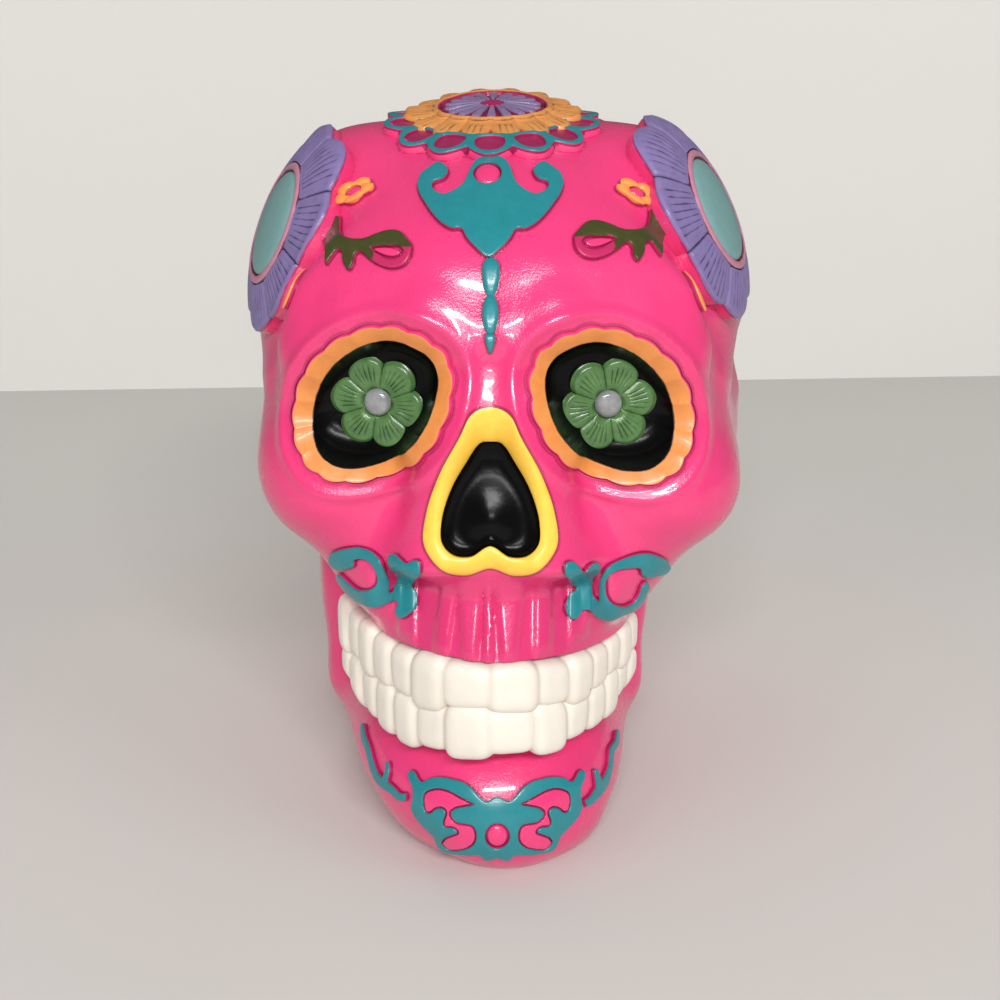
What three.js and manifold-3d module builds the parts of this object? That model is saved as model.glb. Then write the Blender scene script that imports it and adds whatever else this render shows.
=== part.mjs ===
// Painted resin sugar skull with raised flowers and scrolls, face toward -Y, resting on z = 0.
// Millimetres, +Z up. Left and right are as seen from the front, so right is +X.
import * as THREE from "three";
import { mergeVertices } from "three/addons/utils/BufferGeometryUtils.js";
import { TessellateModifier } from "three/addons/modifiers/TessellateModifier.js";
import Module from "manifold-3d";

// Clearances, relief and fineness
const GAP = 0.3; // between neighbouring pieces
const LOW_GAP = 0.6; // under an ornament that crosses a bend of the bone
const WIDE_GAP = 1.2; // under a plate wide enough to span a hollow
const RELIEF = 1.1; // top of a painted ornament over the bone
const BOSS = 1.5; // top of a small raised button over the bone
const SKULL_DETAIL = 11;
const JAW_DETAIL = 7;
const PLATE_STEP = 4.2; // longest edge on a curved plate

// Masses of the bone. An egg has a centre c and radii r, a bar runs from a to b with radius r.
// soft is the width of the blend into the masses before it. Each mass stands on both sides.
const SKULL_MASSES = [
  { c: [0, 11, 91], r: [53, 56.7, 46.2], soft: 1 }, // vault
  { c: [0, -18, 104], r: [42, 37, 29.5], soft: 14 }, // forehead
  { c: [0, 29, 62], r: [39, 35, 36], soft: 20 }, // back of the head
  { c: [0, 6, 32], r: [30, 34, 37], soft: 18 }, // underside
  { c: [0, -15, 83], r: [45, 38, 31], soft: 14 }, // middle of the face
  { a: [9, -45, 109], b: [30, -38, 107], r: 7.5, soft: 12 }, // brow
  { a: [3, -54.6, 103.6], b: [11, -53, 106.8], r: 3.4, soft: 5 }, // ridge over the eye, inner third
  { a: [11, -53, 106.8], b: [24, -46.8, 105], r: 3.4, soft: 5 }, // middle third
  { a: [24, -46.8, 105], b: [33.5, -41, 98.5], r: 3.4, soft: 5 }, // outer third
  { c: [20.4, -43, 91], r: [17, 10, 15.5], soft: 8 }, // ground around the eye
  { c: [29, -37, 72], r: [16.5, 16, 14], soft: 12 }, // cheekbone
  { a: [38, -26, 75], b: [47, 8, 80], r: 5.5, soft: 8 }, // cheek arch
  { c: [0, -31, 57], r: [33, 35, 19], soft: 9 }, // upper jaw
  { a: [0, -46, 100], b: [0, -58, 76], r: 8, soft: 9 }, // bridge of the nose
  { a: [10.5, -58.5, 62], b: [4.5, -55.5, 90], r: 6, soft: 7 }, // side of the nose
  { c: [0, -30, 36], r: [28, 36, 20], soft: 5 }, // bone behind the teeth
];
const SKULL_HOLLOWS = [
  { c: [60.5, -14, 85], r: [12, 34, 12], soft: 8 }, // behind the cheekbone
  { c: [45, -32, 46], r: [11, 15, 11], soft: 6 }, // under the cheekbone
];
const JAW_MASSES = [
  { c: [0, -32, 14], r: [26.5, 32, 18], soft: 1 }, // arch that carries the teeth
  { c: [0, -48.5, 10], r: [16, 16.2, 13], soft: 8 }, // chin
  { a: [11, -45, 8], b: [25, -10, 15], r: 8.5, soft: 8 }, // lower border
  { c: [31, -4, 41], r: [5, 13.5, 25], soft: 8 }, // rising branch
];
const JAW_LEAN = { shift: 2.8, from: -58, over: 48 }; // the back of the jaw sits askew, toward -X
const CHIN_LEAN = { shift: 2.4, tall: 14 }; // and the underside of the chin the other way
const CHEEK_SWAY = 1.2; // one cheek stands out more than the other
const TEMPLE_BALL = { radius: 44, full: 18, none: 30 }; // the bone under a temple flower is part of a ball
const SKULL_CENTRE = new THREE.Vector3(0, -2, 72);
const JAW_CENTRE = new THREE.Vector3(0, -20, 18);

// Teeth: widths from the middle outward, and the arch y = front + x * x / bend
const UPPER_WIDTHS = [9.4, 8.2, 7, 6.4, 5.8, 5.4, 4.8];
const LOWER_WIDTHS = [9, 8, 7.2, 6.6, 6, 5.4, 4.8];
const ARCH = { front: -68, bend: 27.5 };
const ROW = { gum: 45.6, bite: 38, root: 28, deep: 5, pinch: 0.9 };

// Openings of the face, each in a frame of its own
const EYE = { at: [21, -52.8, 91], out: [0.2, -0.98, 0.02], long: 17.5, squash: 0.75, lean: -37 };
const NOSE = { at: [0, -65.2, 76], out: [0, -0.97, 0.24] };

// Round flowers on the head
const CROWN = { at: [-1, -14.2, 137], out: [0, -0.15, 0.989], radius: 20.9 };
const CROWN_LOOPS = 14;
const CROWN_PETALS = 16;
const CROWN_RAYS = 18;
const TEMPLE = { at: [42.6, -18.4, 117.4], out: [0.865, -0.3, 0.402], radius: 20.5, petals: 8, turn: 13 };
const BROW_FLOWER = { at: [25.3, -34, 124.9], out: [0.36, -0.55, 0.75], radius: 3.9 };

// Painted colours
const paint = (color, roughness) => new THREE.MeshStandardMaterial({ color, roughness, metalness: 0 });
const PINK = paint(0xee3f7c, 0.25);
const TEAL = paint(0x2a969c, 0.35);
const ORANGE = paint(0xf7a14c, 0.4);
const YELLOW = paint(0xffc93c, 0.4);
const BLACK = paint(0x141414, 0.3);
const GREEN = paint(0x4f8a45, 0.4);
const VINE = paint(0x56602c, 0.45);
const PURPLE = paint(0x8a78b4, 0.45);
const TURQUOISE = paint(0x7fb5b0, 0.4);
const GREY = paint(0x55595c, 0.35);
const WHITE = paint(0xf1ebe0, 0.55);

const wasm = await Module();
wasm.setup();
const V2 = (x, y) => new THREE.Vector2(x, y);
const V3 = (x, y, z) => new THREE.Vector3(x, y, z);
const HUB = V2(0, 0);
const { clamp, degToRad, smoothstep } = THREE.MathUtils;

// Distances to the masses, and their soft joins and hollows
function toEgg(p, c, r) {
  const x = (p.x - c[0]) / r[0];
  const y = (p.y - c[1]) / r[1];
  const z = (p.z - c[2]) / r[2];
  const near = Math.hypot(x, y, z);
  const steep = Math.hypot(x / r[0], y / r[1], z / r[2]);
  return steep < 1e-9 ? -Math.min(...r) : (near * (near - 1)) / steep;
}

function toBar(p, a, b, r) {
  const from = V3(...a);
  const along = V3(...b).sub(from);
  const t = V3().subVectors(p, from).dot(along) / along.lengthSq();
  return from.addScaledVector(along, clamp(t, 0, 1)).distanceTo(p) - r;
}

const toMass = (p, m) => (m.c ? toEgg(p, m.c, m.r) : toBar(p, m.a, m.b, m.r));

function join(a, b, soft) {
  const h = Math.max(soft - Math.abs(a - b), 0) / soft;
  return Math.min(a, b) - (h * h * soft) / 4;
}

function toBone(p, masses, hollows) {
  const q = V3(Math.hypot(p.x, 1), p.y, p.z);
  let d = Infinity;
  for (const m of masses) d = join(d, toMass(q, m), m.soft);
  for (const m of hollows) d = -join(-d, toMass(q, m), m.soft);
  return d;
}

// Under each temple flower the bone follows a ball that touches the middle of the flower
function domed(p, d) {
  const out = V3(...TEMPLE.out).normalize();
  const q = V3(Math.abs(p.x), p.y, p.z).sub(V3(...TEMPLE.at));
  const offAxis = q.clone().addScaledVector(out, -q.dot(out)).length();
  const ball = q.addScaledVector(out, TEMPLE_BALL.radius).length() - TEMPLE_BALL.radius;
  return d + (1 - smoothstep(offAxis, TEMPLE_BALL.full, TEMPLE_BALL.none)) * (ball - d);
}

function skull(p) {
  const sway = CHEEK_SWAY * smoothstep(Math.abs(p.x), 12, 40) * (1 - smoothstep(p.z, 66, 84));
  return domed(p, toBone(V3(p.x - sway, p.y, p.z), SKULL_MASSES, SKULL_HOLLOWS));
}

const backOfRow = (y) => clamp((y - JAW_LEAN.from) / JAW_LEAN.over, 0, 1.2);

function jaw(p) {
  const back = backOfRow(p.y);
  const low = clamp(1 - p.z / CHIN_LEAN.tall, 0, 1) * (1 - back / 1.2);
  return toBone(V3(p.x + JAW_LEAN.shift * back - CHIN_LEAN.shift * low, p.y, p.z), JAW_MASSES, []);
}

function slope(field, p) {
  const e = 0.2;
  return V3(
    field(V3(p.x + e, p.y, p.z)) - field(V3(p.x - e, p.y, p.z)),
    field(V3(p.x, p.y + e, p.z)) - field(V3(p.x, p.y - e, p.z)),
    field(V3(p.x, p.y, p.z + e)) - field(V3(p.x, p.y, p.z - e)),
  ).normalize();
}

// First point on the skin along a line; a line that just misses is drawn in to the nearest skin
function strike(field, from, way, skin = 0) {
  const at = (t) => from.clone().addScaledVector(way, t);
  let far = 0;
  let near = 0;
  let d = field(from) - skin;
  let closest = { d, t: 0 };
  while (d > 0 && far < 150) {
    near = far;
    far += Math.max(0.3, 0.45 * d);
    d = field(at(far)) - skin;
    if (d < closest.d) closest = { d, t: far };
  }
  if (d > 0) {
    const p = at(closest.t);
    for (let i = 0; i < 8; i++) p.addScaledVector(slope(field, p), skin - field(p));
    return p;
  }
  for (let i = 0; i < 24; i++) {
    const mid = (near + far) / 2;
    if (field(at(mid)) > skin) near = mid;
    else far = mid;
  }
  return at(far);
}

// Meshes and solids
function bare(geometry) {
  geometry.deleteAttribute("normal");
  geometry.deleteAttribute("uv");
  return mergeVertices(geometry, 1e-4);
}

function solid(geometry) {
  const g = bare(geometry.clone());
  const vertProperties = new Float32Array(g.attributes.position.array);
  const triVerts = new Uint32Array(g.index.array);
  return new wasm.Manifold(new wasm.Mesh({ numProp: 3, vertProperties, triVerts }));
}

function meshed(points, faces) {
  return new THREE.BufferGeometry()
    .setAttribute("position", new THREE.Float32BufferAttribute(points, 3))
    .setIndex(Array.from(faces));
}

function shell(body) {
  const mesh = body.getMesh();
  return meshed(mesh.vertProperties, mesh.triVerts);
}

const largest = (body) => body.decompose().sort((a, b) => b.volume() - a.volume())[0];

function moved(geometry, place) {
  const g = geometry.clone();
  const at = g.attributes.position;
  for (let i = 0; i < at.count; i++) {
    const p = place(V3().fromBufferAttribute(at, i));
    at.setXYZ(i, p.x, p.y, p.z);
  }
  return g;
}

// A ball drawn in on to the skin of a field from all round its centre
function wrapped(field, centre, detail, skin = 0) {
  return moved(bare(new THREE.IcosahedronGeometry(1, detail)), (p) => {
    const way = p.normalize();
    return strike(field, centre.clone().addScaledVector(way, 135), way.clone().negate(), skin);
  });
}

// Frames: u to the right, v up and n out of the face of a piece
function frame({ at, out }) {
  const n = V3(...out).normalize();
  const up = Math.abs(n.z) > 0.9 ? V3(0, 1, 0) : V3(0, 0, 1);
  const v = up.addScaledVector(n, -n.dot(up)).normalize();
  return new THREE.Matrix4().makeBasis(V3().crossVectors(v, n), v, n).setPosition(...at);
}

// Lays a flat piece, with heights along its third axis, on the skin of a field
function laid(geometry, field, seat) {
  const place = frame(seat);
  const way = V3(...seat.out).normalize().negate();
  return moved(geometry, (p) => {
    const hit = strike(field, V3(p.x, p.y, 25).applyMatrix4(place), way);
    return hit.addScaledVector(slope(field, hit), p.z);
  });
}

// A pad between two outlines, or from an outline to one point. Its heights may follow t, 0 inside to 1
function pad(outer, inner, bottom, top, rings) {
  const n = outer.length;
  const open = Array.isArray(inner);
  const rows = open ? rings + 1 : rings;
  const points = [];
  const faces = [];
  const height = (h, t) => (typeof h === "function" ? h(t) : h);
  for (const side of [top, bottom]) {
    for (let j = 0; j < rows; j++) {
      const t = (open ? j : j + 1) / rings;
      for (let i = 0; i < n; i++) {
        const p = V2().lerpVectors(open ? inner[i] : inner, outer[i], t);
        points.push(p.x, p.y, height(side, t));
      }
    }
  }
  const low = rows * n;
  const edge = low - n;
  const mid = 2 * low;
  if (!open) points.push(inner.x, inner.y, height(top, 0), inner.x, inner.y, height(bottom, 0));
  for (let i = 0; i < n; i++) {
    const k = (i + 1) % n;
    for (let j = 0; j + 1 < rows; j++) {
      const a = j * n + i;
      const b = j * n + k;
      faces.push(a, a + n, b + n, a, b + n, b);
      faces.push(low + a, low + b + n, low + a + n, low + a, low + b, low + b + n);
    }
    faces.push(edge + i, low + edge + i, low + edge + k, edge + i, low + edge + k, edge + k);
    if (open) faces.push(i, k, low + k, i, low + k, low + i);
    else faces.push(mid, i, k, mid + 1, low + k, low + i);
  }
  return meshed(points, faces);
}

// Flat outlines
function lobed(count, radius, depth, steps, squash = 1) {
  return Array.from({ length: count * steps }, (_, i) => {
    const a = (2 * Math.PI * i) / (count * steps);
    const r = radius - depth * (1 - Math.abs(Math.sin((a * count) / 2)));
    return V2(r * Math.cos(a), r * squash * Math.sin(a));
  });
}

function turned(outline, degrees) {
  return outline.map((p) => p.clone().rotateAround(HUB, degToRad(degrees)));
}

const grown = (outline, by) => outline.map((p) => p.clone().setLength(p.length() + by));
const shifted = (outline, u, v) => outline.map((p) => V2(p.x + u, p.y + v));
const flipped = (list) => list.map(([u, v, w]) => [-u, v, w]);
const bothSides = (half) => [...half, ...flipped(half.filter(([u]) => u)).reverse()];

function loop(points, steps = 2) {
  const line = points.map(([u, v]) => V3(u, v, 0));
  const curve = new THREE.CatmullRomCurve3(line, true, "centripetal");
  return curve.getPoints(points.length * steps).slice(0, -1).map((p) => V2(p.x, p.y));
}

// A ribbon through points that give u, v and the width there
function ribbon(points, steps = 2) {
  const curve = new THREE.CatmullRomCurve3(points.map((p) => V3(...p)), false, "centripetal");
  const line = curve.getPoints((points.length - 1) * steps);
  const left = [];
  const right = [];
  line.forEach((p, i) => {
    const a = line[Math.max(i - 1, 0)];
    const b = line[Math.min(i + 1, line.length - 1)];
    const side = V2(a.y - b.y, b.x - a.x).setLength(p.z / 2);
    left.push(V2(p.x + side.x, p.y + side.y));
    right.unshift(V2(p.x - side.x, p.y - side.y));
  });
  return [...left, ...right];
}

function slab(outline, low, high) {
  const shape = new THREE.Shape(outline);
  const options = { depth: high - low, bevelEnabled: false };
  return solid(new THREE.ExtrudeGeometry(shape, options).translate(0, 0, low));
}

// A plate of joined outlines with holes, with edges short enough to bend on to the bone
function plate(outlines, high, holes = [], low = GAP) {
  const whole = outlines.map((o) => slab(o, low, high)).reduce((a, b) => a.add(b));
  const cut = holes.reduce((body, hole) => body.subtract(slab(hole, 0, high + 1)), whole);
  return bare(new TessellateModifier(PLATE_STEP, 12).modify(shell(cut)));
}

// The scene: pieces on the middle and the right, and a mirrored group for the left
const root = new THREE.Group();
const leftSide = new THREE.Group();
leftSide.scale.x = -1;
root.add(leftSide);

function piece(name, geometry, material, parent = root) {
  const mesh = new THREE.Mesh(geometry, material);
  mesh.name = name;
  parent.add(mesh);
}

function placed(seat, parent = root) {
  const group = new THREE.Group();
  group.applyMatrix4(frame(seat));
  parent.add(group);
  return group;
}

function pair(name, geometry, material, parents = [root, leftSide]) {
  piece(name + "_right", geometry, material, parents[0]);
  piece(name + "_left", geometry, material, parents[1]);
}

// Teeth: two rows along one arch, each tooth a swelling between pinched joints
function archPoint(length) {
  const step = 0.05;
  let x = 0;
  for (let s = step; s <= Math.abs(length); s += step) x += step / Math.hypot(1, (2 * x) / ARCH.bend);
  const sign = Math.sign(length) || 1;
  const out = V2((sign * 2 * x) / ARCH.bend, -1).normalize();
  const y = ARCH.front + (x * x) / ARCH.bend;
  return { at: V2(sign * x - JAW_LEAN.shift * backOfRow(y), y), out };
}

// Heights of the gum, the bite and the roots along the rows
const ends = (x) => smoothstep(Math.abs(x), 23, 31);
const gumLine = (x) => ROW.gum - 1.3 * smoothstep(Math.abs(x), 0, 21) + 1.4 * ends(x) - 0.04 * x;
const biteLine = (x) => ROW.bite - 3 * smoothstep(Math.abs(x), 0, 19);
const rootLine = (x) => ROW.root - 2.6 * smoothstep(Math.abs(x), 0, 20) + 5 * ends(x) + 0.04 * x;

function toothStations(widths) {
  const half = [];
  let s = 0;
  for (const w of widths) {
    half.push([s, -ROW.pinch], [s + 0.3 * w, 0], [s + 0.7 * w, 0]);
    s += w;
  }
  half.push([s, -ROW.pinch]);
  return [...half.slice(1).map(([a, b]) => [-a, b]).reverse(), ...half];
}

function sweep(stations, profile) {
  const points = [];
  const faces = [];
  const m = profile(0, 0).length;
  for (const [s, swell] of stations) {
    const { at, out } = archPoint(s);
    for (const [o, z] of profile(swell, at.x)) points.push(at.x + out.x * o, at.y + out.y * o, z);
  }
  for (let i = 0; i + 1 < stations.length; i++) {
    for (let j = 0; j < m; j++) {
      const a = i * m + j;
      const b = i * m + ((j + 1) % m);
      faces.push(a, b + m, b, a, a + m, b + m);
    }
  }
  const end = (stations.length - 1) * m;
  for (let j = 1; j + 1 < m; j++) faces.push(0, j, j + 1, end, end + j + 1, end + j);
  return meshed(points, faces);
}

function upperTooth(swell, x) {
  const low = biteLine(x) + GAP / 2;
  const high = gumLine(x);
  const face = [[-0.9, low], [0.1, low + 1.6], [0.3, high - 3], [-0.7, high]];
  return [[-ROW.deep, high], [-ROW.deep, low], ...face.map(([o, z]) => [o + swell, z])];
}

function lowerTooth(swell, x) {
  const low = rootLine(x);
  const high = biteLine(x) - GAP / 2;
  const face = [[-1.6, low], [-0.6, low + 2.4], [-0.5, high - 2], [-1.3, high]];
  return [[-ROW.deep, high], [-ROW.deep, low], ...face.map(([o, z]) => [o + swell, z])];
}

function toothSlot(swell, x) {
  const back = -ROW.deep - GAP;
  const low = rootLine(x) - GAP;
  const high = gumLine(x) + GAP;
  return [[back, high], [back, low], [14, low], [14, high]];
}

const upperStations = toothStations(UPPER_WIDTHS);
const lowerStations = toothStations(LOWER_WIDTHS);
const rowEnd = upperStations[upperStations.length - 1][0] + GAP;
const slotStations = Array.from({ length: 41 }, (_, i) => [rowEnd * (i / 20 - 1), 0]);
const slot = solid(sweep(slotStations, toothSlot));
piece("upper_teeth", sweep(upperStations, upperTooth), WHITE);
piece("lower_teeth", sweep(lowerStations, lowerTooth), WHITE);

// Eyes: an oval pocket with a scalloped lip, a dark bowl, a flower and a bead
const eyeGroups = [placed(EYE), placed(EYE, leftSide)];
const eyeEdge = turned(lobed(17, EYE.long, 0.6, 2, EYE.squash), EYE.lean);
const eyeInside = shifted(turned(lobed(17, 14, 0, 2, 0.7), -42), 0.8, -1.3);
const eyePetals = shifted(turned(lobed(6, 9.2, 2.4, 4), -27), 0.6, -1.2);
const eyeBead = shifted(lobed(10, 2.4, 0, 1), 0.6, -1.2);
const eyeMiddle = V2(0.6, -1.2);
pair("eye_rim", pad(eyeEdge, eyeInside, -4.5, (t) => -3 + 3.6 * t, 1), ORANGE, eyeGroups);
pair("eye_bowl", pad(eyeEdge, HUB, -7, -4.8, 1), BLACK, eyeGroups);
pair("eye_flower", pad(eyePetals, eyeMiddle, -4.5, (t) => -3.8 + 0.5 * t, 2), GREEN, eyeGroups);
pair("eye_bead", pad(eyeBead, eyeMiddle, -3.2, (t) => -2.2 - 0.7 * t * t, 2), GREY, eyeGroups);
const eyePocket = solid(pad(grown(eyeEdge, GAP), HUB, -7 - GAP, 14, 1).applyMatrix4(frame(EYE)));

// Nose: an upside-down heart with a raised band and a dark floor
const noseGroup = placed(NOSE);
const noseHalf = [
  [0, 17.3], [-3.1, 16.1], [-5.3, 12], [-8.8, 5.6], [-11.2, -1.3], [-11.6, -7], [-8.1, -11.5],
  [-4.2, -12.4], [0, -11.1],
];
const noseHole = [
  [0, 11.3], [-1.8, 11], [-4.3, 7.5], [-6.9, 2.8], [-8.5, -2.6], [-8.4, -6.6], [-6.4, -8.7],
  [-3.4, -8.9], [0, -7],
];
const noseEdge = loop(bothSides(noseHalf));
const noseInside = loop(bothSides(noseHole));
const noseMiddle = V2(0, -2);
piece("nose_rim", pad(noseEdge, noseInside, -3.6, (t) => -0.4 + 1.6 * t * (1.4 - t), 2), YELLOW, noseGroup);
piece("nose_floor", pad(noseEdge, noseMiddle, -6.4, -3.9, 1), BLACK, noseGroup);
const noseRoom = pad(grown(noseEdge, GAP), noseMiddle, -6.4 - GAP, 14, 1);
const nosePocket = solid(noseRoom.applyMatrix4(frame(NOSE)));

// Bone: the skull with its pockets, and the lower jaw fitted round it
const skullBall = solid(wrapped(skull, SKULL_CENTRE, SKULL_DETAIL)).trimByPlane([0, 0, 1], 0);
const pockets = [slot, eyePocket, eyePocket.mirror([1, 0, 0]), nosePocket];
piece("cranium", shell(largest(pockets.reduce((body, pocket) => body.subtract(pocket), skullBall))), PINK);
const jawBall = solid(wrapped(jaw, JAW_CENTRE, JAW_DETAIL)).trimByPlane([0, 0, 1], 0);
const skullRoom = solid(wrapped(skull, SKULL_CENTRE, SKULL_DETAIL, GAP + 0.1));
piece("mandible", shell(largest(jawBall.subtract(skullRoom).subtract(slot))), PINK);

// Crown: a stack of round layers on the top of the head
const onCrown = (geometry) => laid(geometry, skull, CROWN);
const crownR = CROWN.radius;
const crownRing = (r, depth = 0) => lobed(CROWN_LOOPS, r, depth, 2);
piece("crown_plate", onCrown(pad(crownRing(crownR, 1.6), HUB, 0.45, 1.1, 3)), PINK);
piece("crown_lace", onCrown(pad(crownRing(crownR - 0.4, 1.8), crownRing(14), 1.4, 2.1, 1)), TEAL);
const sunflowerRing = (r, depth = 0) => lobed(CROWN_PETALS, r, depth, 3);
const sunflower = pad(sunflowerRing(16.6, 3), sunflowerRing(9.8), 2.4, (t) => 3.2 - 0.4 * t, 1);
piece("crown_sunflower", onCrown(sunflower), ORANGE);
piece("crown_rosette", onCrown(pad(lobed(CROWN_RAYS, 9.4, 0.5, 2), HUB, 1.4, 2.4, 2)), PURPLE);
piece("crown_bead", onCrown(pad(lobed(10, 2.8, 0, 1), HUB, 2.7, (t) => 3.4 - 0.4 * t * t, 2)), PINK);

// Temples: a large flower round a smooth stone on each side of the head
const onTemple = (geometry) => laid(geometry, skull, TEMPLE);
const templeRing = (r, depth = 0) => turned(lobed(TEMPLE.petals, r, depth, 3), TEMPLE.turn);
const templeR = TEMPLE.radius;
pair("temple_plate", onTemple(pad(templeRing(templeR, 1.7), HUB, WIDE_GAP, 2, 5)), PINK);
pair("temple_petals", onTemple(pad(templeRing(templeR - 0.6, 1.8), templeRing(13.7), 2.4, 3.1, 2)), PURPLE);
pair("temple_ring", onTemple(pad(templeRing(13.4), templeRing(12.1), 2.4, 3.3, 1)), PINK);
pair("temple_stone", onTemple(pad(templeRing(11.8), HUB, 2.4, (t) => 3.7 - 0.7 * t * t, 2)), TURQUOISE);

// Forehead: a crest with hooked tips, a button, and three drops that fall toward the nose
const crestSeat = { at: [-0.7, -45.5, 124.5], out: [0, -0.68, 0.73] };
const crestHalf = [
  [0, -10.5], [2.5, -8.6], [4.7, -5.3], [6.3, -5.2], [8.2, -3.8], [10, -1.1], [12.3, 4], [12.8, 6.8],
  [12.2, 9.4], [9.5, 12], [8.2, 11], [7.5, 9.2], [8.3, 7.3], [10, 6.6], [9.4, 3.9], [7.9, 3],
  [6.1, 3.9], [4.6, 5.7], [3.6, 9.1], [2.7, 11], [1.4, 12], [0, 12.2],
];
const crestButton = shifted(lobed(12, 2.3, 0, 1), -0.3, 8);
const crestHole = shifted(lobed(12, 2.7, 0, 1), -0.3, 8);
const crest = plate([loop(bothSides(crestHalf), 1)], RELIEF, [crestHole]);
piece("forehead_crest", laid(crest, skull, crestSeat), TEAL);
piece("forehead_boss", laid(plate([crestButton], BOSS), skull, crestSeat), PINK);
const dropSeat = { at: [-0.2, -56.7, 108], out: [0, -0.97, 0.23] };
const dropHalves = [
  [[0, 9.5], [1.3, 8.6], [1.5, 7], [1.2, 4.7], [0, 3.4]],
  [[0, 3.1], [1.2, 1.8], [1.4, -0.4], [0.9, -2.4], [0, -3.1]],
  [[0, -3.4], [0.9, -3.9], [0.7, -5.1], [0, -6.7]],
];
dropHalves.forEach((half, i) => {
  const drop = plate([loop(bothSides(half))], RELIEF, [], LOW_GAP);
  piece("forehead_drop_" + (i + 1), laid(drop, skull, dropSeat), TEAL);
});

// Brow: a small flower with a bead, a vine with a curled leaf, and a bud beside the temple
const onFlower = (geometry) => laid(geometry, skull, BROW_FLOWER);
const flowerR = BROW_FLOWER.radius;
const flowerPetals = lobed(5, flowerR, 0.8, 4);
pair("brow_flower", onFlower(pad(flowerPetals, lobed(5, 1.7, 0, 4), GAP, 1.3, 1)), ORANGE);
pair("brow_flower_bead", onFlower(pad(lobed(8, 1.3, 0, 1), HUB, GAP, BOSS, 1)), PINK);
const vineSeat = { at: [23, -45, 119], out: [-0.05, -0.98, 0.17] };
const vineDrop = 1.8; // the left vine sits lower
const vineOutline = [
  [-6.8, 2.4], [-5.1, 2.6], [-3, 2.1], [-0.9, 1.3], [0.8, 1.1], [3, 1.5], [3.8, 2.1], [4.1, 3.4],
  [4.2, 4.4], [4.9, 4.4], [5.8, 3.4], [6.9, 2.2], [7.8, 1], [6.7, 0.3], [6.4, -0.9], [6.3, -3.1],
  [5.3, -1.9], [4.2, -0.7], [3.3, -1.1], [3.2, -2.4], [2.1, -4], [1.4, -3.1], [1.1, -1.6], [0.2, -0.9],
  [-1.5, -2.1], [-3.2, -3.1], [-5.3, -3.7], [-7.3, -3.3], [-8.4, -2.2], [-8.8, -0.6], [-8, 1.2],
];
const vineHole = [
  [-7.6, -1.1], [-6.7, 0], [-4.9, 0], [-3.3, 0], [-1.6, -0.5], [-3.3, -1.5], [-4.6, -2.2],
  [-6.3, -2.2],
];
const vineLeaf = [[-7, -1.1], [-5.6, -0.5], [-3.8, -0.4], [-2.4, -0.6], [-4.2, -1.5], [-6, -1.7]];
const vine = plate([loop(vineOutline, 1)], RELIEF, [loop(vineHole, 1)], LOW_GAP);
const leaf = plate([loop(vineLeaf, 1)], 1);
const [vineX, vineY, vineZ] = vineSeat.at;
const vineSeats = { right: vineSeat, left: { at: [vineX, vineY, vineZ - vineDrop], out: vineSeat.out } };
for (const [side, seat] of Object.entries(vineSeats)) {
  const parent = side === "left" ? leftSide : root;
  piece("brow_vine_" + side, laid(vine, skull, seat), VINE, parent);
  piece("brow_leaf_" + side, laid(leaf, skull, seat), PINK, parent);
}
const budSeat = { at: [37, -43, 109], out: [0.6, -0.7, 0.35] };
const budOutline = [
  [-0.6, 4.4], [-1.8, 2.6], [-2.1, 0.4], [-1.4, -2], [-0.2, -3.4], [0.4, -1.6], [0.1, 1.6],
];
const bud = loop(budOutline, 1);
pair("temple_bud", laid(plate([bud], RELIEF), skull, budSeat), ORANGE);

// Cheeks: a curled ribbon that grows out of a four-pointed sprig, drawn a little differently on each side
const scrollRight = [
  [-2.6, -2.9], [-2.5, 0.8], [-1.3, 3.4], [2.2, 5.2], [5.9, 6], [9.5, 4.8], [10.1, 3.8], [9.4, 2.7],
  [7.4, 2], [5.5, 1.6], [4.4, 3.1], [1.7, 3], [-1.1, 1.8], [-1.5, -1], [-0.2, -3.4], [1.4, -3.8],
  [3.2, -3.1], [4.8, 0.2], [5.6, 0.9], [6.1, 0.2], [4.9, -3.2], [3.6, -4.5], [-0.7, -6.3],
  [-3.6, -5.4], [-5.7, -4.7], [-7.3, -6.5], [-8.3, -6], [-9, -4.9], [-8.2, -2.1], [-7.2, -0.8],
  [-8.9, 1.8], [-9.1, 2.8], [-8.6, 3.7], [-7.7, 3.8], [-5.7, 2.3], [-3.8, 3.9], [-3.1, 3.6],
  [-3.6, 1.8], [-4.2, -0.4], [-3.9, -1.6],
];
const scrollLeft = [
  [3.4, -1.9], [3.4, 0.3], [2.5, 3.9], [1.3, 5.2], [-1.9, 6.4], [-5.7, 6], [-7.3, 5.3], [-7.6, 4.1],
  [-6.9, 3], [-5.5, 2.4], [-3.5, 2.6], [-2.6, 3.9], [0, 3.9], [1.5, 1.6], [1.5, 0.3], [1, -0.8],
  [-0.3, -1.4], [-2.1, -1.2], [-4.8, 0.9], [-5.8, 1.7], [-6.3, 1.2], [-4.2, -2], [-0.6, -4.1],
  [1.5, -4.3], [3.6, -3.5], [5.4, -3.8], [5.1, -4.9], [5.9, -6.7], [7.4, -6], [8.9, -3.3], [8, -0.6],
  [9.5, 1.2], [9.8, 2.4], [9.5, 3.6], [8.6, 3.7], [7.3, 3.2], [5.2, 4.9], [4.2, 4.4], [4.2, 3.2],
  [5.3, 0.8], [5, -0.4],
];
const scrollSeats = {
  right: { at: [22.4, -55, 57.6], out: [-0.05, -0.92, 0.39], line: scrollRight },
  left: { at: [-22.4, -55, 57.6], out: [0.05, -0.92, 0.39], line: scrollLeft },
};
for (const [side, seat] of Object.entries(scrollSeats)) {
  piece("cheek_scroll_" + side, laid(plate([loop(seat.line, 1)], RELIEF, [], LOW_GAP), skull, seat), TEAL);
}

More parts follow.
